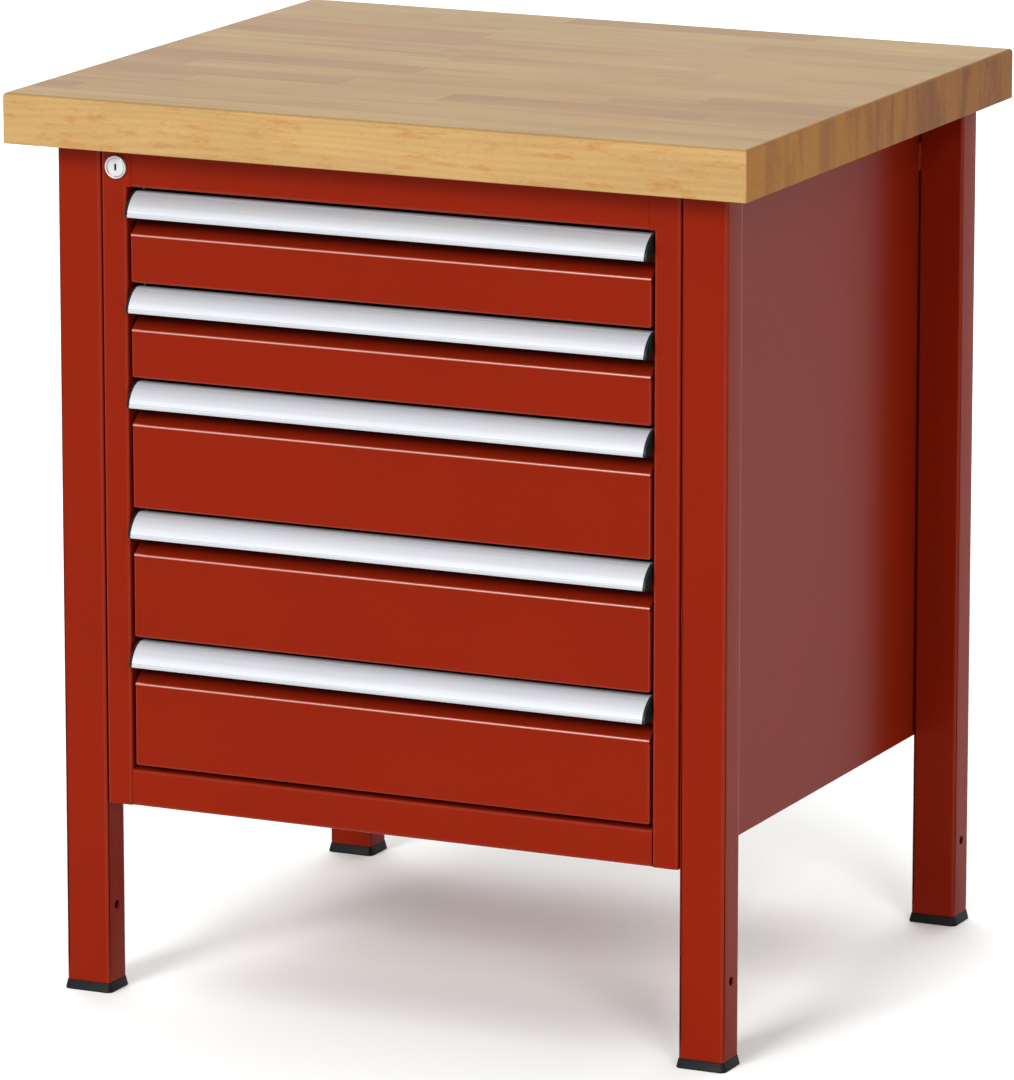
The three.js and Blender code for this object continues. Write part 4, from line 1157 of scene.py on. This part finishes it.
def build_lock():
    """The housing with its rounded rim, the plug with its key slot, and a black block in the slot as
    painted shade for the keyway's depth.
    """
    low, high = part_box("lock_housing")
    front = low.y
    panel_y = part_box("side_panel_left")[0].y
    centre = lock_centre
    seat = panel_y - LOCK_SEAT_RISE
    rim_back = panel_y - SHEET_GAP
    rim_round = (LOCK_RIM_RADIUS - LOCK_RIM_INNER_RADIUS) / 2
    rim_centre = v2(LOCK_RIM_INNER_RADIUS + rim_round, front + rim_round)
    profile = [(LOCK_BORE_RADIUS, seat), (LOCK_RIM_INNER_RADIUS, seat)]
    profile += [tuple(p) for p in arc_points(rim_centre, rim_round, pi, 2 * pi, 8)]
    profile += [(LOCK_RIM_RADIUS, rim_back), (LOCK_BARREL_RADIUS, rim_back)]
    profile += [(LOCK_BARREL_RADIUS, high.y), (LOCK_BORE_RADIUS, high.y)]
    bm = bmesh.new()
    add_turned(bm, profile, centre)
    housing = make_object("lock_rim", bm, NICKEL, 40)
    settle(housing, "cabinet", "nickel", "lock_housing")

    plug_low, plug_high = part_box("lock_cylinder")
    face = plug_low.y
    radius = (plug_high.x - plug_low.x) / 2
    profile = [
        (0, face),
        (radius - PLUG_EDGE_ROUND, face),
        (radius - PLUG_EDGE_ROUND / 4, face + PLUG_EDGE_ROUND / 4),
        (radius, face + PLUG_EDGE_ROUND),
        (radius, seat - SHEET_GAP),
        (PLUG_REAR_RADIUS, seat - SHEET_GAP),
        (PLUG_REAR_RADIUS, plug_high.y),
        (0, plug_high.y),
    ]
    bm = bmesh.new()
    add_turned(bm, profile, centre)
    plug = make_object("lock_plug_face", bm, NICKEL, 40)
    slot = bmesh.new()
    keyway = (KEYWAY_HALF_WIDTH, KEYWAY_HALF_HEIGHT, KEYWAY_CORNER)
    outline = rounded_rectangle(*keyway, (centre.x, centre.z), 5)
    add_prism(slot, outline, "y", face - 1 * MM, face + KEYWAY_DEPTH)
    cut_away(plug, slot)
    settle(plug, "lock_plug", "nickel", "lock_cylinder")
    # A black block inside the keyway: painted shade for its depth.
    bm = bmesh.new()
    outline = rounded_rectangle(*[size - KEYWAY_SHADE_BLOCK_GAP for size in keyway], (centre.x, centre.z), 5)
    add_prism(bm, outline, "y", face + KEYWAY_SHADE_BLOCK_FRONT, face + KEYWAY_SHADE_BLOCK_BACK)
    settle(make_object("lock_keyway_shade_block", bm, BLACK), "lock_plug", "black_plastic")


# ---- Assembly ----

build_worktop()
for end in ("front", "rear"):
    for side_name, side_sign in SIDES.items():
        place = f"{end}_{side_name}"
        build_leg(place)
        build_foot(place)
        build_weld_bead(place, side_sign, 1 if end == "front" else -1)
for side_name, side_sign in SIDES.items():
    build_side_panel(side_name, side_sign)
build_top_rail()
build_bottom_pan()
for drawer in range(1, 6):
    build_drawer_front(drawer)
    build_handle(drawer)
    build_drawer_box(drawer)
    for side_name, side_sign in SIDES.items():
        build_slide(drawer, side_name, side_sign)
build_lock()

CAD_MATERIALS = {
    "red_powder_coat": RED,
    "grey_powder_coat": GREY,
    "beech": BEECH,
    "aluminium": ALUMINIUM,
    "nickel": NICKEL,
    "zinc_steel": ZINC,
    "black_plastic": BLACK,
}
for part in frame["record"]["subparts"]:
    node = frame["nodes"][part["node"]]
    node.data.materials.clear()
    node.data.materials.append(CAD_MATERIALS[part["material_slot"]])


# ---- Studio ----


def build_floor():
    """A pale floor sheet that runs out to the horizon."""
    material, tree, shader = new_material("studio_floor")
    mottling = noise(tree, object_coordinates(tree), 2.0, 2)
    tint = ranged(tree, mottling, 0.2, 0.8, 0.95, 0.97)
    feed(tree, shader.inputs["Base Color"], mixed(tree, 1.0, (0.97, 1.0, 0.985, 1), tint, "MULTIPLY"))
    shader.inputs["Roughness"].default_value = 0.9
    shader.inputs["Specular IOR Level"].default_value = 0.0
    bm = bmesh.new()
    corners = [(-1, -1), (1, -1), (1, 1), (-1, 1)]
    bm.faces.new([bm.verts.new((x * FLOOR_REACH, y * FLOOR_REACH, 0)) for x, y in corners])
    floor = make_object("studio_floor", bm, material)


def add_soft_light(name, azimuth, elevation, brightness, angular_size):
    """Even light from a wide, far source. Azimuth 0 is in front of the bench and 90 on its right."""
    light = bpy.data.lights.new(name, "SUN")
    light.energy = brightness * pi
    light.angle = radians(angular_size)
    lamp = link(bpy.data.objects.new(name, light))
    a, e = radians(azimuth), radians(elevation)
    toward = Vector((sin(a) * cos(e), -cos(a) * cos(e), sin(e)))
    lamp.location = toward * 8
    lamp.rotation_mode = "QUATERNION"
    lamp.rotation_quaternion = (-toward).to_track_quat("-Z", "Y")


def build_light():
    """Two soft keys in front, and a dim room with a soft bank overhead and one high up behind."""
    world = bpy.data.worlds.new("studio")
    world.use_nodes = True
    tree = world.node_tree
    direction = tree.nodes.new("ShaderNodeTexCoord").outputs["Generated"]

    def bank(toward, start, full, radiance):
        facing = tree.nodes.new("ShaderNodeVectorMath")
        facing.operation = "DOT_PRODUCT"
        tree.links.new(direction, facing.inputs[0])
        facing.inputs[1].default_value = Vector(toward).normalized()
        return ranged(tree, facing.outputs["Value"], start, full, 0.0, radiance)

    overhead = bank((0, 0, 1), 0.70, 0.90, OVERHEAD_BANK)
    behind = bank((-0.30, 0.75, 0.65), 0.75, 0.98, REAR_BANK)
    horizon = bank((-0.20, 1.0, 0.15), 0.50, 0.95, REAR_HORIZON)
    above_floor = bank((0, 0, 1), -0.06, -0.04, 1.0)
    skyline = bank((0, 0, 1), 0.15, 0.05, SKYLINE)
    banks = plus(tree, plus(tree, overhead, behind), calc(tree, "MAXIMUM", horizon, skyline))
    strength = plus(tree, times(tree, banks, above_floor), ROOM_LIGHT)
    background = tree.nodes["Background"]
    background.inputs["Color"].default_value = (1, 1, 1, 1)
    feed(tree, background.inputs["Strength"], strength)
    bpy.context.scene.world = world
    add_soft_light("key_left", -8, 24, 0.90, 20)
    add_soft_light("key_right", 40, 28, 0.36, 18)


def build_camera():
    """Seen from the right and a little above, from far off with a long lens."""
    turn, level = CAMERA_AZIMUTH, cos(CAMERA_ELEVATION)
    forward = Vector((-sin(turn) * level, cos(turn) * level, -sin(CAMERA_ELEVATION)))
    right = Vector((cos(turn), sin(turn), 0))
    up = right.cross(forward)
    target = Vector((0, 0, CAMERA_TARGET_HEIGHT)) + right * CAMERA_SHIFT_RIGHT + up * CAMERA_SHIFT_UP
    data = bpy.data.cameras.new("camera")
    data.sensor_width = 36
    data.lens = CAMERA_LENS
    data.clip_start, data.clip_end = 0.1, 200
    camera = link(bpy.data.objects.new("camera", data))
    facing = Matrix((right, up, -forward)).transposed().to_4x4()
    camera.matrix_world = Matrix.Translation(target - forward * CAMERA_DISTANCE) @ facing
    bpy.context.scene.camera = camera


build_floor()
build_light()
build_camera()
bpy.context.scene.view_settings.view_transform = "Standard"
